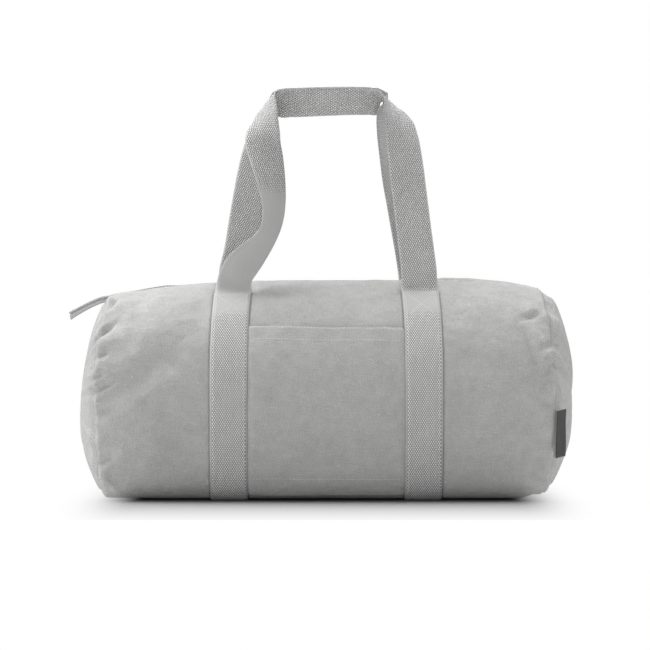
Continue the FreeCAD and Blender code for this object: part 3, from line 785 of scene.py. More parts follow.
for side, name in ((-1, "left"), (1, "right")):
    points = end_cloth(side)
    normal = grid_normals(points, (RINGS // 2, AROUND // 4), (side, 0, 0), wrap=True)
    end = cloth(f"{name}_end_panel_cloth", points - normal * CANVAS_THICK / 2, normal, CANVAS_THICK,
                points[..., 1:], wrap=True, pole=True)
    dress(end, CANVAS, "bag", f"{name}_end_panel")
    print(name, "end reaches x", round(float(np.abs(points[..., 0]).max()) / MM, 1), "mm")

# %% [markdown]
# ## The webbing straps
# Each strap is one length of webbing, sewn flat to the front, passed under the bag and sewn up
# the back. It follows the folded cloth, so its points are found on the cloth and lifted by the
# webbing's thickness. Its edges are thinner than its middle, as woven edges are.

# %% Straps on the body
WEB_THICK = 1.8 * MM
WEB_LIFT = WEB_THICK / 2 + 0.1 * MM           # from the cloth to the middle of the webbing
HINGE_Y = 62 * MM
STRAP_END_Y = 61 * MM
WEB_COLUMNS = 13


def strap_grid(side):
    start = round_at(y=STRAP_END_Y)
    v = np.arange(start, GIRTH - start, 3 * MM)
    across = np.linspace(-0.5, 0.5, WEB_COLUMNS) * WEB_WIDTH
    middle = strap_middle(side, v)[:, None]
    points, normal = on_bag(middle + across, v[:, None])
    beside, _ = on_bag(middle + across * 0.86, v[:, None])
    for edge in (0, -1):          # an edge keeps the height of the cloth beside it, out of the groove
        points[:, edge, 1:] = beside[:, edge, 1:]
    from_end = np.minimum(v, GIRTH - v) - start
    return points, normal, np.stack(np.broadcast_arrays(across[None] + WEB_WIDTH / 2, from_end[:, None]), -1)


for side, name in ((-1, "left"), (1, "right")):
    points, normal, uv = strap_grid(side)
    strap = cloth(f"{name}_strap", points + normal * WEB_LIFT, normal, WEB_THICK, uv, thin_edges=0.35)
    dress(strap, WEBBING, "bag", f"{name}_body_strap")
    print(name, "strap has", len(points), "rows")

# %% [markdown]
# ## The handles
# Where a strap leaves the bag it carries on as a handle. Each handle is a ribbon along a line
# of points. At each point the ribbon has a twist: at 0 it faces straight out, and at 90 it is
# edge-on from the front, as it is where the webbing lies flat over a hand at the grip. Both
# handles lean in until they meet over the zip.

# %% Lines of the two handles: x, height, distance out, twist in degrees
FRONT_HANDLE = [
    (-94, 244, 58, -16), (-79, 260, 55, -38), (-65.5, 276.5, 52, -56), (-59.5, 290, 49, -58),
    (-57, 304, 46, -54), (-57, 320, 43, -48), (-60, 342, 39, -36), (-64, 362, 35, -22), (-68.5, 384, 31, 2),
    (-66, 405, 27, 43), (-63, 420, 23, 62), (-60, 430, 20, 80), (-54, 436, 19, 92), (-45, 438.4, 19, 92),
    (-34, 440, 19, 88), (-15, 441.3, 19, 86), (15, 441.8, 19, 86), (36, 441.2, 19, 88), (46, 439.6, 19, 92),
    (57, 436, 19.5, 93), (65, 430, 20.5, 84), (71.4, 419, 23, 65), (76.2, 410, 25, 50), (79.6, 401, 27, 36),
    (82, 388, 30, 25), (85, 364, 35, 14), (90, 320, 43, 10), (95, 277, 52, 8), (99, 244, 58, 4)]
BACK_HANDLE = [
    (-101, 244, 58, 4), (-96, 262, 54, 8), (-90, 296, 46, 10), (-84, 330, 38, 12), (-79, 356, 32, 16),
    (-73, 382, 27, 26), (-68.5, 398, 24, 44), (-65, 409, 21.5, 58), (-62.8, 418, 20, 62),
    (-61.2, 426, 19, 70), (-59.2, 430, 18, 92), (-56.5, 430, 17.5, 116), (-52, 428.5, 16.5, 135),
    (-40, 428.5, 15.5, 139), (-20, 429, 15, 139), (0, 429.5, 15, 137), (30, 430.3, 15, 136),
    (48, 430.3, 15.5, 135), (57, 430.3, 16.5, 131), (60.3, 431.5, 17.5, 112), (62.6, 430.7, 18.5, 88),
    (64.4, 426, 19.5, 68), (65.2, 418, 20, 61), (64.6, 409, 20.8, 60), (65.5, 398, 22, 58),
    (68.5, 376, 24, 55), (75, 345, 31, 44), (83, 318, 38, 30), (90, 290, 46, 18), (96, 262, 54, 8),
    (99, 244, 58, 3)]
ROW_GAP = 2.5 * MM
HINGE_LEAD = 5 * MM               # how much of a handle's webbing still lies on the bag


def smooth_rows(rows, gap):
    """Rows on a smooth line through the given ones, evenly spaced along it."""
    rows = np.array(rows, float) * [MM, MM, MM, math.pi / 180]
    step = np.concatenate([[0], np.cumsum(np.linalg.norm(np.diff(rows[:, :3], axis=0), axis=1))])
    slope = np.gradient(rows, step, axis=0)
    at = np.linspace(0, step[-1], int(step[-1] / gap) + 1)
    i = np.clip(np.searchsorted(step, at) - 1, 0, len(step) - 2)
    return hermite(rows[i], rows[i + 1], slope[i], slope[i + 1], (step[i + 1] - step[i])[:, None],
                   ((at - step[i]) / (step[i + 1] - step[i]))[:, None])


def free_ribbon(rows, out, across):
    """The part of a handle in the air, as a grid of points in the middle of the webbing."""
    fine = smooth_rows(rows, ROW_GAP)
    centre = np.stack([fine[:, 0], out * fine[:, 2], fine[:, 1]], -1)
    along = unit(np.gradient(centre, axis=0))
    flat = unit(np.cross(along, [0.0, out, 0.0]))
    facing = unit(np.cross(flat, along))
    wide = flat * np.cos(fine[:, 3:4]) + facing * np.sin(fine[:, 3:4])
    wide *= np.sign(wide[0, 0]) if wide[0, 0] else 1
    return centre[:, None] + wide[:, None] * across[None, :, None]


def hinge_rows(side, out, across):
    """Rows of webbing still sewn to the bag, from the end of a strap up to the hinge."""
    start, end = round_at(y=STRAP_END_Y), round_at(y=STRAP_END_Y - HINGE_LEAD)
    v = np.linspace(start, end, 5)
    if out > 0:
        v = GIRTH - v
    points, normal = on_bag(side * (STRAP_X - STRAP_LEAN) + across[None], v[:, None])
    return points + normal * WEB_LIFT, normal


def handle_grid(rows, out):
    across = np.linspace(-0.5, 0.5, WEB_COLUMNS) * WEB_WIDTH
    free = free_ribbon(rows, out, across)
    left, left_normal = hinge_rows(-1, out, across)
    right, _ = hinge_rows(1, out, across)
    right = right[:, ::-1]
    t = np.linspace(0, 1, 9)[1:-1, None, None]
    parts = [left]
    for a, b, before, after in ((left[-1], free[0], left[-1] - left[-2], free[1] - free[0]),
                                (free[-1], right[-1], free[-1] - free[-2], right[-2] - right[-1])):
        gap = np.linalg.norm(b - a, axis=-1, keepdims=True)[None]
        parts.append(hermite(a[None], b[None], unit(before)[None], unit(after)[None], gap, t))
        if len(parts) == 2:
            parts.append(free)
    parts.append(right[::-1])
    grid = np.concatenate(parts)
    for _ in range(10):           # webbing is stiff, so it takes no sudden kink above the hinge
        for part in (slice(3, 26), slice(-26, -3)):
            before, after = slice(part.start - 1, part.stop - 1), slice(part.start + 1, part.stop + 1)
            grid[part] = 0.5 * grid[part] + 0.25 * (grid[before] + grid[after])
    return grid, left_normal[0]


for name, rows, out in (("front", FRONT_HANDLE, -1), ("back", BACK_HANDLE, 1)):
    grid, outward = handle_grid(rows, out)
    normal = grid_normals(grid, (0, WEB_COLUMNS // 2), outward[WEB_COLUMNS // 2])
    length = np.cumsum(np.linalg.norm(np.gradient(grid[:, WEB_COLUMNS // 2], axis=0), axis=1))
    across = np.linspace(0, 1, WEB_COLUMNS) * WEB_WIDTH
    smooth_shift = -90 * MM if out < 0 else 2 * SMOOTH_WEAVE_REACH      # where the weave's length starts: from -90 mm the lower left of the front handle is drawn smooth, and the back handle is dotted all along
    uv = np.stack(np.broadcast_arrays(across[None], length[:, None] + smooth_shift), -1)
    handle = cloth(f"{name}_handle_webbing", grid, normal, WEB_THICK, uv, thin_edges=0.45)
    hinge = Vector((0, out * HINGE_Y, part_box(f"{name}_handle")[0].z))
    dress(handle, WEBBING, f"{name}_handle", f"{name}_handle",
          joined_at=(hinge, hinge + Vector((0, -out * 5 * MM, 24 * MM))))
    print(name, "handle is", round(length[-1] / MM), "mm of webbing")

# %% [markdown]
# ## The front pocket
# The pocket is a flat piece of the same canvas, held by the two straps at its sides and open at
# the top, where a hem is folded in. It lies against the bag, so it is found on the folded cloth
# too, and its mouth stands off a little and dips in the middle, as a slack hem does.

# %% Pocket and hem
POCKET_LOW, POCKET_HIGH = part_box("front_pocket")
MOUTH_LEFT, MOUTH_RIGHT = 182.5 * MM, 178.5 * MM
MOUTH_GAP = 2.7 * MM
HEM_DEEP = 14 * MM
POCKET_FOOT_SEAM = 25 * MM         # height of the stitches that close the pocket below
TUCKED, TUCKED_OFFSET = 2 * MM, 0.55 * MM     # how far the sides run under the straps, and how high they lie


def mouth_height(x):
    """Height of the pocket's folded top edge, which slopes and dips a little."""
    t = (x - POCKET_LOW.x) / (POCKET_HIGH.x - POCKET_LOW.x)
    return MOUTH_LEFT + (MOUTH_RIGHT - MOUTH_LEFT) * t - 1.2 * MM * math.sin(math.pi * min(max(t, 0), 1)) ** 2


def pocket_layer(depth_down, offset, rows):
    """A grid on the bag's front from the pocket's mouth down, lifted off the bag by an offset."""
    x = np.linspace(POCKET_LOW.x - TUCKED, POCKET_HIGH.x + TUCKED, 72)
    top = np.array([round_at(height=mouth_height(c)) for c in x])
    foot = round_at(height=POCKET_LOW.z + 1 * MM)
    reach = (foot - top) if depth_down is None else depth_down + 0 * top
    t = np.linspace(0, 1, rows)[:, None]
    v = top[None] + t * reach[None]
    points, normal = on_bag(x[None] + 0 * v, v)
    down = v - top[None]
    across = np.sin(math.pi * np.clip((x - POCKET_LOW.x) / (POCKET_HIGH.x - POCKET_LOW.x), 0, 1)) ** 0.5
    inside = smoothstep(np.minimum(x - x[0], x[-1] - x) / (7 * MM) - 0.3)[None]
    offset = TUCKED_OFFSET + (offset - TUCKED_OFFSET) * inside
    stand = MOUTH_GAP * across[None] * np.exp(-down / (26 * MM))
    drag = 0.55 * MM * lumps(x[None] - 0.7 * v, 0.3 * v + 0 * x[None], (11 * MM, 30 * MM), 21.0)
    drag = drag * np.exp(-down / (24 * MM)) * across[None]
    lifted = points + normal * (offset + stand + drag)[..., None]
    return lifted, normal, np.stack([x[None] + 0 * v, v], -1)


points, normal, uv = pocket_layer(None, 0.3 * MM + CANVAS_THICK * 1.6, 90)
POCKET = (points, normal)
facing = grid_normals(points, (45, 36), normal[45, 36])
pocket = cloth("front_pocket_cloth", points, facing, CANVAS_THICK, uv + 0.31)
dress(pocket, CANVAS, "bag", "front_pocket")
points, normal, uv = pocket_layer(HEM_DEEP, 0.2 * MM + CANVAS_THICK * 0.5, 8)
points[0] += normal[0] * 0.5 * MM
points[0, :, 2] += 0.9 * MM
hem = cloth("pocket_hem_fold", points, normal, CANVAS_THICK, uv + 0.57)
dress(hem, CANVAS, "bag", "pocket_hem")
print("the pocket's mouth is", round((POCKET_HIGH.x - POCKET_LOW.x) / MM), "mm wide")

# %% [markdown]
# ## The zip
# The zip lies in the valley between the two crests: a woven tape under each folded canvas edge,
# and along each tape a coil of nylon whose turns lock together in the middle. The slider rides
# on the coils, and its puller lies along them. The coil is the same small turn hundreds of
# times over, so Geometry Nodes lay the turns along a line.

# %% A tree that sets a small shape along a line, again and again
def along_line_tree(name, shape):
    """A node tree: a line with an 'outward' attribute becomes a row of shapes, one every Pitch metres."""
    tree = bpy.data.node_groups.new(name, "GeometryNodeTree")
    face = tree.interface
    face.new_socket("Geometry", in_out="INPUT", socket_type="NodeSocketGeometry")
    kinds = {"Pitch": "Float", "Length": "Float", "Width": "Float", "Height": "Float", "Wander": "Float",
             "Seed": "Int", "Material": "Material"}
    sockets = {label: face.new_socket(label, in_out="INPUT", socket_type="NodeSocket" + kind).identifier
               for label, kind in kinds.items()}
    face.new_socket("Geometry", in_out="OUTPUT", socket_type="NodeSocketGeometry")

    def step(kind, inputs=None, **settings):
        return wire(tree, kind, inputs, **settings).outputs[0]

    given = wire(tree, "NodeGroupInput").outputs
    curve = step("GeometryNodeMeshToCurve", {"Mesh": given["Geometry"]})
    spaced = step("GeometryNodeResampleCurve", {"Curve": curve, "Length": given["Pitch"]}, mode="LENGTH")
    # each shape points along the line and stands outwards, give or take a small random turn
    outward = wire(tree, "GeometryNodeInputNamedAttribute", {"Name": "outward"},
                   data_type="FLOAT_VECTOR").outputs["Attribute"]
    turn = step("FunctionNodeAlignRotationToVector", {"Vector": step("GeometryNodeInputTangent")}, axis="X")
    roll = step("FunctionNodeAlignRotationToVector", {"Rotation": turn, "Vector": outward}, axis="Z",
                pivot_axis="X")
    most = step("ShaderNodeCombineXYZ", {axis: given["Wander"] for axis in "XYZ"})
    least = step("ShaderNodeVectorMath", {0: most, "Scale": -1.0}, operation="SCALE")
    wander = wire(tree, "FunctionNodeRandomValue", {"Min": least, "Max": most, "Seed": given["Seed"]},
                  data_type="FLOAT_VECTOR")
    spin = step("FunctionNodeEulerToRotation", {0: wander.outputs["Value"]})
    turned = step("FunctionNodeRotateRotation", {"Rotation": roll, "Rotate By": spin}, rotation_space="LOCAL")
    size = step("ShaderNodeCombineXYZ", {"X": given["Length"], "Y": given["Width"], "Z": given["Height"]})
    row = step("GeometryNodeInstanceOnPoints", {"Points": spaced, "Instance": shape(tree), "Rotation": turned,
                                                "Scale": size})
    real = step("GeometryNodeRealizeInstances", {0: row})
    smooth = step("GeometryNodeSetShadeSmooth", {0: real})
    painted = step("GeometryNodeSetMaterial", {0: smooth, "Material": given["Material"]})
    wire(tree, "NodeGroupOutput", {0: painted})
    return tree, sockets


def stitch_shape(tree):
    """A stitch 1 long: a bead with few faces."""
    bead = wire(tree, "GeometryNodeMeshUVSphere", {"Segments": 6, "Rings": 5, "Radius": 0.5})
    turn = (0, math.radians(90), 0)
    return wire(tree, "GeometryNodeTransform", {"Geometry": bead.outputs[0], "Rotation": turn}).outputs[0]


def coil_shape(tree):
    """One turn of the coil, 1 across: a wire bent into a ring."""
    ring, section = (wire(tree, "GeometryNodeCurvePrimitiveCircle", {"Resolution": sides, "Radius": radius})
                     .outputs["Curve"] for sides, radius in ((10, 0.40), (5, 0.13)))
    solid = wire(tree, "GeometryNodeCurveToMesh", {"Curve": ring, "Profile Curve": section})
    turn = (0, math.radians(90), math.radians(14))
    return wire(tree, "GeometryNodeTransform", {"Geometry": solid.outputs[0], "Rotation": turn}).outputs[0]


STITCH_TREE = along_line_tree("row_of_stitches", stitch_shape)
COIL_TREE = along_line_tree("row_of_coil_turns", coil_shape)


def make_real(made):
    """Puts what an object's modifiers make in place of its mesh, and takes the modifiers off."""
    bpy.context.view_layer.update()
    mesh = bpy.data.meshes.new_from_object(made.evaluated_get(bpy.context.evaluated_depsgraph_get()))
    made.modifiers.clear()
    made.data = mesh
    return mesh


def row_of(name, tree_and_sockets, lines, material, **values):
    """A plain mesh of small shapes along lines, each line a pair (points, outward directions)."""
    tree, sockets = tree_and_sockets
    verts = np.concatenate([p for p, _ in lines])
    edges, start = [], 0
    for p, _ in lines:
        edges += [(start + i, start + i + 1) for i in range(len(p) - 1)]
        start += len(p)
    mesh = bpy.data.meshes.new(name + "_line")
    mesh.from_pydata([tuple(v) for v in verts], edges, [])
    outward = mesh.attributes.new("outward", "FLOAT_VECTOR", "POINT")
    outward.data.foreach_set("vector", np.concatenate([n for _, n in lines]).astype(np.float32).ravel())
    holder = bpy.data.objects.new(name, mesh)
    bpy.context.scene.collection.objects.link(holder)
    modifier = holder.modifiers.new("rows", "NODES")
    modifier.node_group = tree
    for label, value in {**values, "Material": material}.items():
        modifier[sockets[label]] = value
    make_real(holder).name = name
    print(name, "has", len(holder.data.polygons), "faces")
    return holder


# %% Zip tapes under the folded canvas edges
TAPE_WIDE, TAPE_THICK, TAPE_INNER = 14 * MM, 0.6 * MM, 1.2 * MM
COIL_RADIUS, COIL_INNER, COIL_PITCH = 1.3 * MM, 0.7 * MM, 1.5 * MM
UP = np.array([0.0, 0, 1])
COIL_END_X = SEAM_X - 13 * MM
ZIP_X = np.linspace(-SEAM_X + 8 * MM, SEAM_X - 3 * MM, 210)
TAPE_Z = zip_edge_height(ZIP_X) - CANVAS_THICK - 0.1 * MM - TAPE_THICK / 2
TAPE_Z -= 4.5 * MM * smoothstep((ZIP_X - COIL_END_X + 4 * MM) / (12 * MM))    # down behind the right end


def coil_along(name, line, length, width, height):
    """A coil whose turns follow a line, with the size of a turn in coil radii."""
    return row_of(name, COIL_TREE, [(line, np.broadcast_to(UP, line.shape))], COIL, Pitch=COIL_PITCH,
                  Length=length * COIL_RADIUS, Width=width * COIL_RADIUS, Height=height * COIL_RADIUS)


for out, name in ((-1, "front"), (1, "back")):
    y = out * np.linspace(TAPE_INNER, TAPE_INNER + TAPE_WIDE, 7)
    drop = 0.25 * MM * np.linspace(0, 1, 7) ** 2
    points = np.stack(np.broadcast_arrays(ZIP_X[:, None], y[None], TAPE_Z[:, None] - drop[None]), -1)
    tape = cloth(f"{name}_zip_tape_woven", points, np.broadcast_to(UP, points.shape), TAPE_THICK,
                 points[..., :2])
    dress(tape, ZIP_TAPE, "bag", f"{name}_zip_tape")
    line = np.stack([ZIP_X, 0 * ZIP_X + out * (COIL_INNER + COIL_RADIUS * 0.86),
                     TAPE_Z + TAPE_THICK / 2 + COIL_RADIUS * 0.9], -1)
    coil = coil_along(f"{name}_zip_coil_turns", line[ZIP_X < COIL_END_X], 2.1, 2.6, 1.9)
    dress(coil, COIL, "bag", f"{name}_zip_coil")

# %% [markdown]
# ## Slider and puller
# The slider is cast metal: two plates round the coils, joined at one end by a post, with a bail
# on top. Its plates are worked from flat outlines with rounded corners, then bevelled. The
# puller is a thin tab, narrow at its eye and wider at its rounded end.

# %% Plates from outlines
def plate(outline, z0, z1):
    """Vertices and faces of a plate with that outline, from height z0 to z1."""
    count = len(outline)
    verts = [(x, y, z0) for x, y in outline] + [(x, y, z1) for x, y in outline]
    faces = [tuple(range(count))[::-1], tuple(range(count, 2 * count))]
    faces += [(i, (i + 1) % count, (i + 1) % count + count, i + count) for i in range(count)]
    return verts, faces


def rounded(x0, x1, y_at_x0, y_at_x1, corner, steps=5):
    """A plate outline from x0 to x1 with a half width at each end and round corners."""
    points = []
    for x, half, inward, turns in ((x1, y_at_x1, -1, (-90, 0)), (x1, y_at_x1, -1, (0, 90)),
                                   (x0, y_at_x0, 1, (90, 180)), (x0, y_at_x0, 1, (180, 270))):
        sign_y = -1 if turns in ((-90, 0), (180, 270)) else 1
        for a in np.radians(np.linspace(*turns, steps)):
            points.append((x + inward * corner + corner * math.cos(a),
                           sign_y * (half - corner) + corner * math.sin(a)))
    return points


def metal_piece(name, shapes, bevel):
    """One object of all the shapes, its edges rounded off."""
    verts, faces = [], []
    for v, f in shapes:
        faces += [tuple(i + len(verts) for i in face) for face in f]
        verts += v
    made = new_object(name, verts, faces, smooth=False)
    soften = made.modifiers.new("soften", "BEVEL")
    soften.width, soften.segments, soften.limit_method = bevel, 2, "ANGLE"
    mesh = make_real(made)
    mesh.polygons.foreach_set("use_smooth", [len(p.vertices) == 4 for p in mesh.polygons])
    return made


def rod(start, end, radius, sides=14):
    """A round bar between two points."""
    a, b = Vector(start), Vector(end)
    turn = (b - a).to_track_quat("Z", "Y")
    ring = [turn @ Vector((radius * math.cos(t), radius * math.sin(t), 0))
            for t in np.linspace(0, 2 * math.pi, sides, endpoint=False)]
    verts = [tuple(a + r) for r in ring] + [tuple(b + r) for r in ring]
    faces = [tuple(range(sides))[::-1], tuple(range(sides, 2 * sides))]
    faces += [(i, (i + 1) % sides, (i + 1) % sides + sides, i + sides) for i in range(sides)]
    return verts, faces


# %% Slider
SLIDER_LOW, SLIDER_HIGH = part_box("zip_slider")
SLIDER_X = (SLIDER_LOW.x + SLIDER_HIGH.x) / 2
PLATE_THICK, PLATE_TOP, WALL_FOOT = 1.2 * MM, 230.2 * MM, 226.4 * MM
PIVOT_Z, PIN_RADIUS = 232.23 * MM, 0.6 * MM
BAIL_INNER, BAIL_OUTER, BAIL_HALF = 2.3 * MM, 3.3 * MM, 1.6 * MM
WALL_THICK = 0.9 * MM
inner_y = SLIDER_HIGH.y - WALL_THICK
wall_x0, wall_x1 = SLIDER_LOW.x + 1.5 * MM, SLIDER_HIGH.x - 1.5 * MM
outline = rounded(SLIDER_LOW.x, SLIDER_HIGH.x, 4.0 * MM, SLIDER_HIGH.y, 1.8 * MM)
shapes = [plate(outline, PLATE_TOP - PLATE_THICK, PLATE_TOP),
          plate(outline, SLIDER_LOW.z, SLIDER_LOW.z + PLATE_THICK)]
for out in (-1, 1):
    wall = [(wall_x0, out * (inner_y - 0.2 * MM)), (wall_x1, out * inner_y),
            (wall_x1, out * (SLIDER_HIGH.y - 0.1 * MM)), (wall_x0, out * (SLIDER_HIGH.y - 0.5 * MM))]
    bail = [(SLIDER_X + along * BAIL_HALF, out * y)
            for y, along in ((BAIL_INNER, -1), (BAIL_INNER, 1), (BAIL_OUTER, 1), (BAIL_OUTER, -1))]
    shapes.append(plate(wall[::out], WALL_FOOT, PLATE_TOP - PLATE_THICK / 2))
    shapes.append(plate(bail[::out], PLATE_TOP - 0.2 * MM, PIVOT_Z + 1.1 * MM))
post = rounded(SLIDER_HIGH.x - 4.5 * MM, SLIDER_HIGH.x - 0.4 * MM, 0.45 * MM, 0.45 * MM, 0.4 * MM, 3)
shapes.append(plate(post, SLIDER_LOW.z + PLATE_THICK / 2, PLATE_TOP - PLATE_THICK / 2))
shapes.append(rod((SLIDER_X, -2.9 * MM, PIVOT_Z), (SLIDER_X, 2.9 * MM, PIVOT_Z), PIN_RADIUS))
slider = metal_piece("zip_slider_body", shapes, 0.25 * MM)
dress(slider, METAL, "zip_slider", "zip_slider")

# %% Puller
PULLER_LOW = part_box("zip_puller")[0]
EYE_INNER, EYE_OUTER, EYE_HALF, EYE_STEPS = 0.9 * MM, 1.7 * MM, 1.9 * MM, 24


def eye_ring():
    """The ring round the pin: an inner and an outer circle on each side of it."""
    n = EYE_STEPS
    verts = [(SLIDER_X + radius * math.cos(a), y, PIVOT_Z + radius * math.sin(a))
             for y in (-EYE_HALF, EYE_HALF) for radius in (EYE_INNER, EYE_OUTER)
             for a in np.linspace(0, 2 * math.pi, n, endpoint=False)]
    faces = []
    for i in range(n):
        j = (i + 1) % n
        faces += [(i, j, j + n, i + n), (i + 2 * n, i + 3 * n, j + 3 * n, j + 2 * n),
                  (i, i + 2 * n, j + 2 * n, j), (i + n, j + n, j + 3 * n, i + 3 * n)]
    return verts, faces


tab = plate(rounded(PULLER_LOW.x, SLIDER_X - 1.3 * MM, 2.0 * MM, 1.7 * MM, 1.5 * MM),
            PIVOT_Z - 0.6 * MM, PIVOT_Z + 0.6 * MM)
grip = plate(rounded(PULLER_LOW.x + 2 * MM, PULLER_LOW.x + 14 * MM, 1.2 * MM, 1.2 * MM, 0.8 * MM),
             PIVOT_Z + 0.35 * MM, PIVOT_Z + 0.85 * MM)
puller = metal_piece("zip_puller_tab", [eye_ring(), tab, grip], 0.2 * MM)
dress(puller, METAL, "zip_puller", "zip_puller")

# %% [markdown]
# ## The tail of the zip
# At the left end the zip runs out of the seam and is cut off. Its two tapes fold down from the
# coil like a roof: the front one steeply, the back one hardly at all.

# %% Zip tail
TAIL_RIDGE = [(-279.6, 198.2), (-266, 205.4), (-254, 211.2), (-244, 214.8), (-234, 216.0)]
TAIL_FRONT, TAIL_BACK = 8.6 * MM, 12.5 * MM     # how wide the two leaves are
TAIL_ROLL = 1.4 * MM
TAIL_HINGE = Vector(next(j for j in frame["joints"] if j["name"] == "zip_tail_lift")["pos_m"])


TAIL_CUT = 2.6 * MM                              # how far the cut end slants back
TAIL_JOIN = (TAIL_HINGE, TAIL_HINGE - Vector((10 * MM, 0, 3 * MM)))    # sewn at its root, free beyond
ridge_x = np.linspace(-234, -279.6, 26) * MM
ridge = np.stack([ridge_x, 0 * ridge_x, curve_through(TAIL_RIDGE, ridge_x)], -1)
t = np.linspace(0, 1, 26)[:, None]
w = np.linspace(0, 1, 8)
for out, steep, wide, name in ((-1, 70, TAIL_FRONT, "front"), (1, 12, TAIL_BACK, "back")):
    lean = np.radians(steep) * (0.8 + 0.2 * w)
    step = np.where(w > 0, wide / 7, 0.0)
    down, side = np.cumsum(np.sin(lean) * step), out * np.cumsum(np.cos(lean) * step)
    grow = 0.70 + 0.30 * t
    cut = TAIL_CUT * np.abs(w - 0.45)[None] * t ** 8
    points = ridge[:, None] + np.stack(np.broadcast_arrays(cut, side[None] * grow, -down[None] * grow), -1)
    normal = grid_normals(points, (10, 3), UP)
    uv = np.stack(np.broadcast_arrays(t * 45 * MM, w[None] * wide), -1)
    leaf = cloth(f"zip_tail_{name}_leaf", points, normal, TAPE_THICK, uv)
    dress(leaf, ZIP_TAPE, "zip_tail", "zip_tail", joined_at=TAIL_JOIN)
angle = np.radians(np.linspace(-35, 215, 12))[None]
normal = np.stack(np.broadcast_arrays(0 * t, np.cos(angle), np.sin(angle)), -1)
uv = np.stack(np.broadcast_arrays(t * 45 * MM, angle * TAIL_ROLL), -1)
fold = cloth("zip_tail_fold", ridge[:, None] + TAIL_ROLL * normal, normal, TAPE_THICK, uv)
dress(fold, BINDING, "zip_tail", "zip_tail", joined_at=TAIL_JOIN)
tail_coil = coil_along("zip_tail_coil", ridge - [0.4 * MM, 0, 0], 1.7, 1.7, 1.6)
dress(tail_coil, COIL, "zip_tail", "zip_tail", joined_at=TAIL_JOIN)

# %% [markdown]
# ## The side label
# A dark folded ribbon is caught in the front of the right end seam. It is left bare. It stands
# off the end panel a little and curls at its free edge.

# %% Side label
LABEL_LOW, LABEL_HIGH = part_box("side_label")
LABEL_HINGE = next(j for j in frame["joints"] if j["name"] == "side_label_fold")
hinge = np.array(LABEL_HINGE["pos_m"], float)
edge = -unit(np.array(LABEL_HINGE["axis"], float))
LABEL_LONG = (LABEL_HIGH.z - LABEL_LOW.z) / edge[2] * 0.985
LABEL_WIDE, LABEL_THICK = 13 * MM, 0.8 * MM
LABEL_OUT = math.radians(40)                     # how far it stands off the end panel
outward = np.array([0, -edge[2], edge[1]])
across = np.array([math.cos(LABEL_OUT), 0, 0]) - outward * math.sin(LABEL_OUT)
rows, cols = np.linspace(0, 1, 40), np.linspace(0, 1, 12)
curl = 1.3 * MM * (cols ** 2)[None] * (0.5 + 0.5 * np.sin(rows * 5.2 + 0.6))[:, None]
points = (hinge + edge * (rows * LABEL_LONG)[:, None, None] + across * (cols * LABEL_WIDE)[None, :, None]
          + np.cross(across, edge) * curl[..., None])
normal = grid_normals(points, (20, 6), np.cross(edge, across))
uv = np.stack(np.broadcast_arrays(cols[None] * LABEL_WIDE, rows[:, None] * LABEL_LONG), -1)
label = cloth("side_label_ribbon", points, normal, LABEL_THICK, uv)
dress(label, LABEL, "side_label", "side_label")
print("label", round(LABEL_LONG / MM), "by", round(LABEL_WIDE / MM), "mm")

# %% [markdown]
# ## Bindings inside the end seams
# Inside the bag each raw seam is covered by a folded tape. It is seen only through the open zip,
# so it is one plain ring that follows the barrel's cloth.

# %% Seam bindings
BIND_WIDE, BIND_THICK = 12 * MM, 1.2 * MM
for side, name in ((-1, "left"), (1, "right")):
    x = side * (SEAM_X - np.linspace(3 * MM, 3 * MM + BIND_WIDE, 6))
    v = np.linspace(26 * MM, GIRTH - 26 * MM, 200)
    points, normal = on_bag(x[:, None], v[None])
    points = points - normal * (CANVAS_THICK + 0.25 * MM + BIND_THICK / 2)
    uv = np.stack(np.broadcast_arrays(x[:, None], v[None]), -1)
    binding = cloth(f"{name}_seam_tape", points, normal, BIND_THICK, uv)
    dress(binding, BINDING, "bag", f"{name}_seam_binding")

# %% [markdown]
# ## Stitching
# Rows of lockstitch hold the straps down along both edges, a box with a cross takes the pull of
# each handle below its hinge, and single rows run beside the zip and under the pocket's hem.
# Each row is a line on the cloth, and the same node tree that laid the coil lays the stitches.

# %% Rows of stitches
STITCH = dict(Pitch=3.2 * MM, Length=2.7 * MM, Width=0.62 * MM, Height=0.42 * MM, Wander=0.05)
STITCH_INSET = 3.0 * MM


def on_strap(side, x_offset, v):
    """A line on top of a strap, at an offset from its middle and places v round the bag."""
    points, normal = on_bag(strap_middle(side, v) + x_offset, v)
    return points + normal * (WEB_THICK + 0.15 * MM), normal


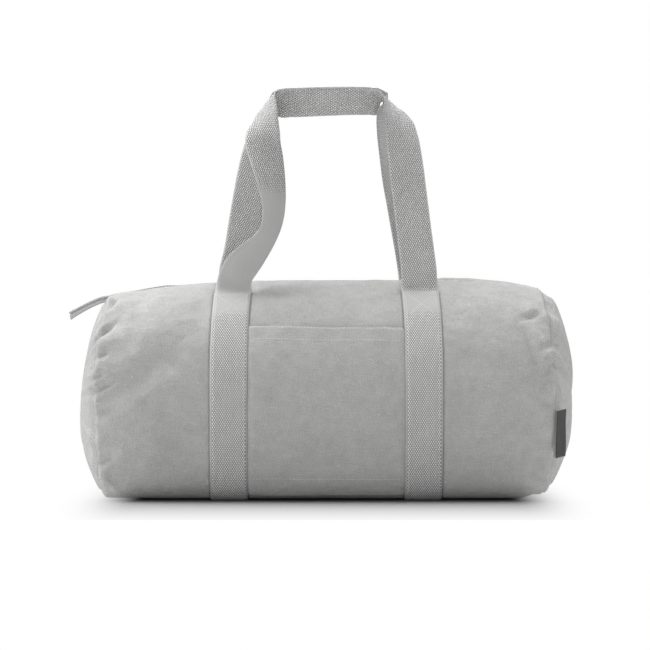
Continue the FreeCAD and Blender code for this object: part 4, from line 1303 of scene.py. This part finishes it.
BOX_TOP, BOX_FOOT = round_at(y=66 * MM), round_at(y=95 * MM)
for side, name in ((-1, "left"), (1, "right")):
    lines = []
    low_v = round_at(height=12 * MM)
    for offset in (-1, 1):
        for back in (False, True):
            v = np.linspace(BOX_FOOT, low_v, 120)
            v = GIRTH - v if back else v
            lines.append(on_strap(side, offset * (WEB_WIDTH / 2 - STITCH_INSET), v))
    rows = row_of(f"{name}_strap_stitches", STITCH_TREE, lines, THREAD, Seed=3, **STITCH)
    dress(rows, THREAD, "bag", f"{name}_strap_stitching")
for back, name in ((False, "front"), (True, "back")):
    lines = []
    for side in (-1, 1):
        reach = WEB_WIDTH / 2 - STITCH_INSET
        corners = [(-reach, BOX_TOP), (reach, BOX_TOP), (reach, BOX_FOOT), (-reach, BOX_FOOT)]
        for a, b in ((0, 1), (1, 2), (2, 3), (3, 0), (0, 2), (1, 3)):
            t = np.linspace(0, 1, 14)
            v = corners[a][1] * (1 - t) + corners[b][1] * t
            offset = corners[a][0] * (1 - t) + corners[b][0] * t
            lines.append(on_strap(side, offset, GIRTH - v if back else v))
    rows = row_of(f"{name}_box_stitches", STITCH_TREE, lines, THREAD, Seed=5, **STITCH)
    dress(rows, THREAD, "bag", f"{name}_box_stitching")
lines = []
for v in (round_at(y=25.3 * MM), GIRTH - round_at(y=25.3 * MM)):
    points, normal = on_bag(np.linspace(-STRAIGHT_X, STRAIGHT_X, 160), np.full(160, v))
    lines.append((points + normal * 0.1 * MM, normal))
rows = row_of("zip_side_stitches", STITCH_TREE, lines, THREAD, Seed=7, **STITCH)
dress(rows, THREAD, "bag", "zip_stitching")
points, normal = POCKET
foot_row = int(np.argmin(np.abs(points[:, points.shape[1] // 2, 2] - POCKET_FOOT_SEAM)))
lines = [(points[row, 4:-4] + normal[row, 4:-4] * (CANVAS_THICK / 2 + 0.05 * MM), normal[row, 4:-4])
         for row in (7, foot_row)]
pocket_rows = row_of("pocket_hem_stitches", STITCH_TREE, lines, THREAD, Seed=9, **STITCH)
dress(pocket_rows, THREAD, "bag", "pocket_stitching")

# %% [markdown]
# ## What each cloth was cut to
# The barrel is one rectangle, each end a round, and the pocket a rectangle with its hem turned in.

# %% Cut sizes
END_WIDE, END_HIGH = 2 * RADIUS * 0.98, 230 * MM
POCKET_CUT = (POCKET_HIGH.x - POCKET_LOW.x + 2 * TUCKED,
              round_at(height=POCKET_LOW.z + 1 * MM) - round_at(height=MOUTH_LEFT))
for name, cut in (("barrel", (2 * SEAM_X, GIRTH)), ("ends", (END_WIDE, END_HIGH)), ("pocket", POCKET_CUT)):
    print(name, "cut to", *(round(c / MM) for c in cut), "mm")
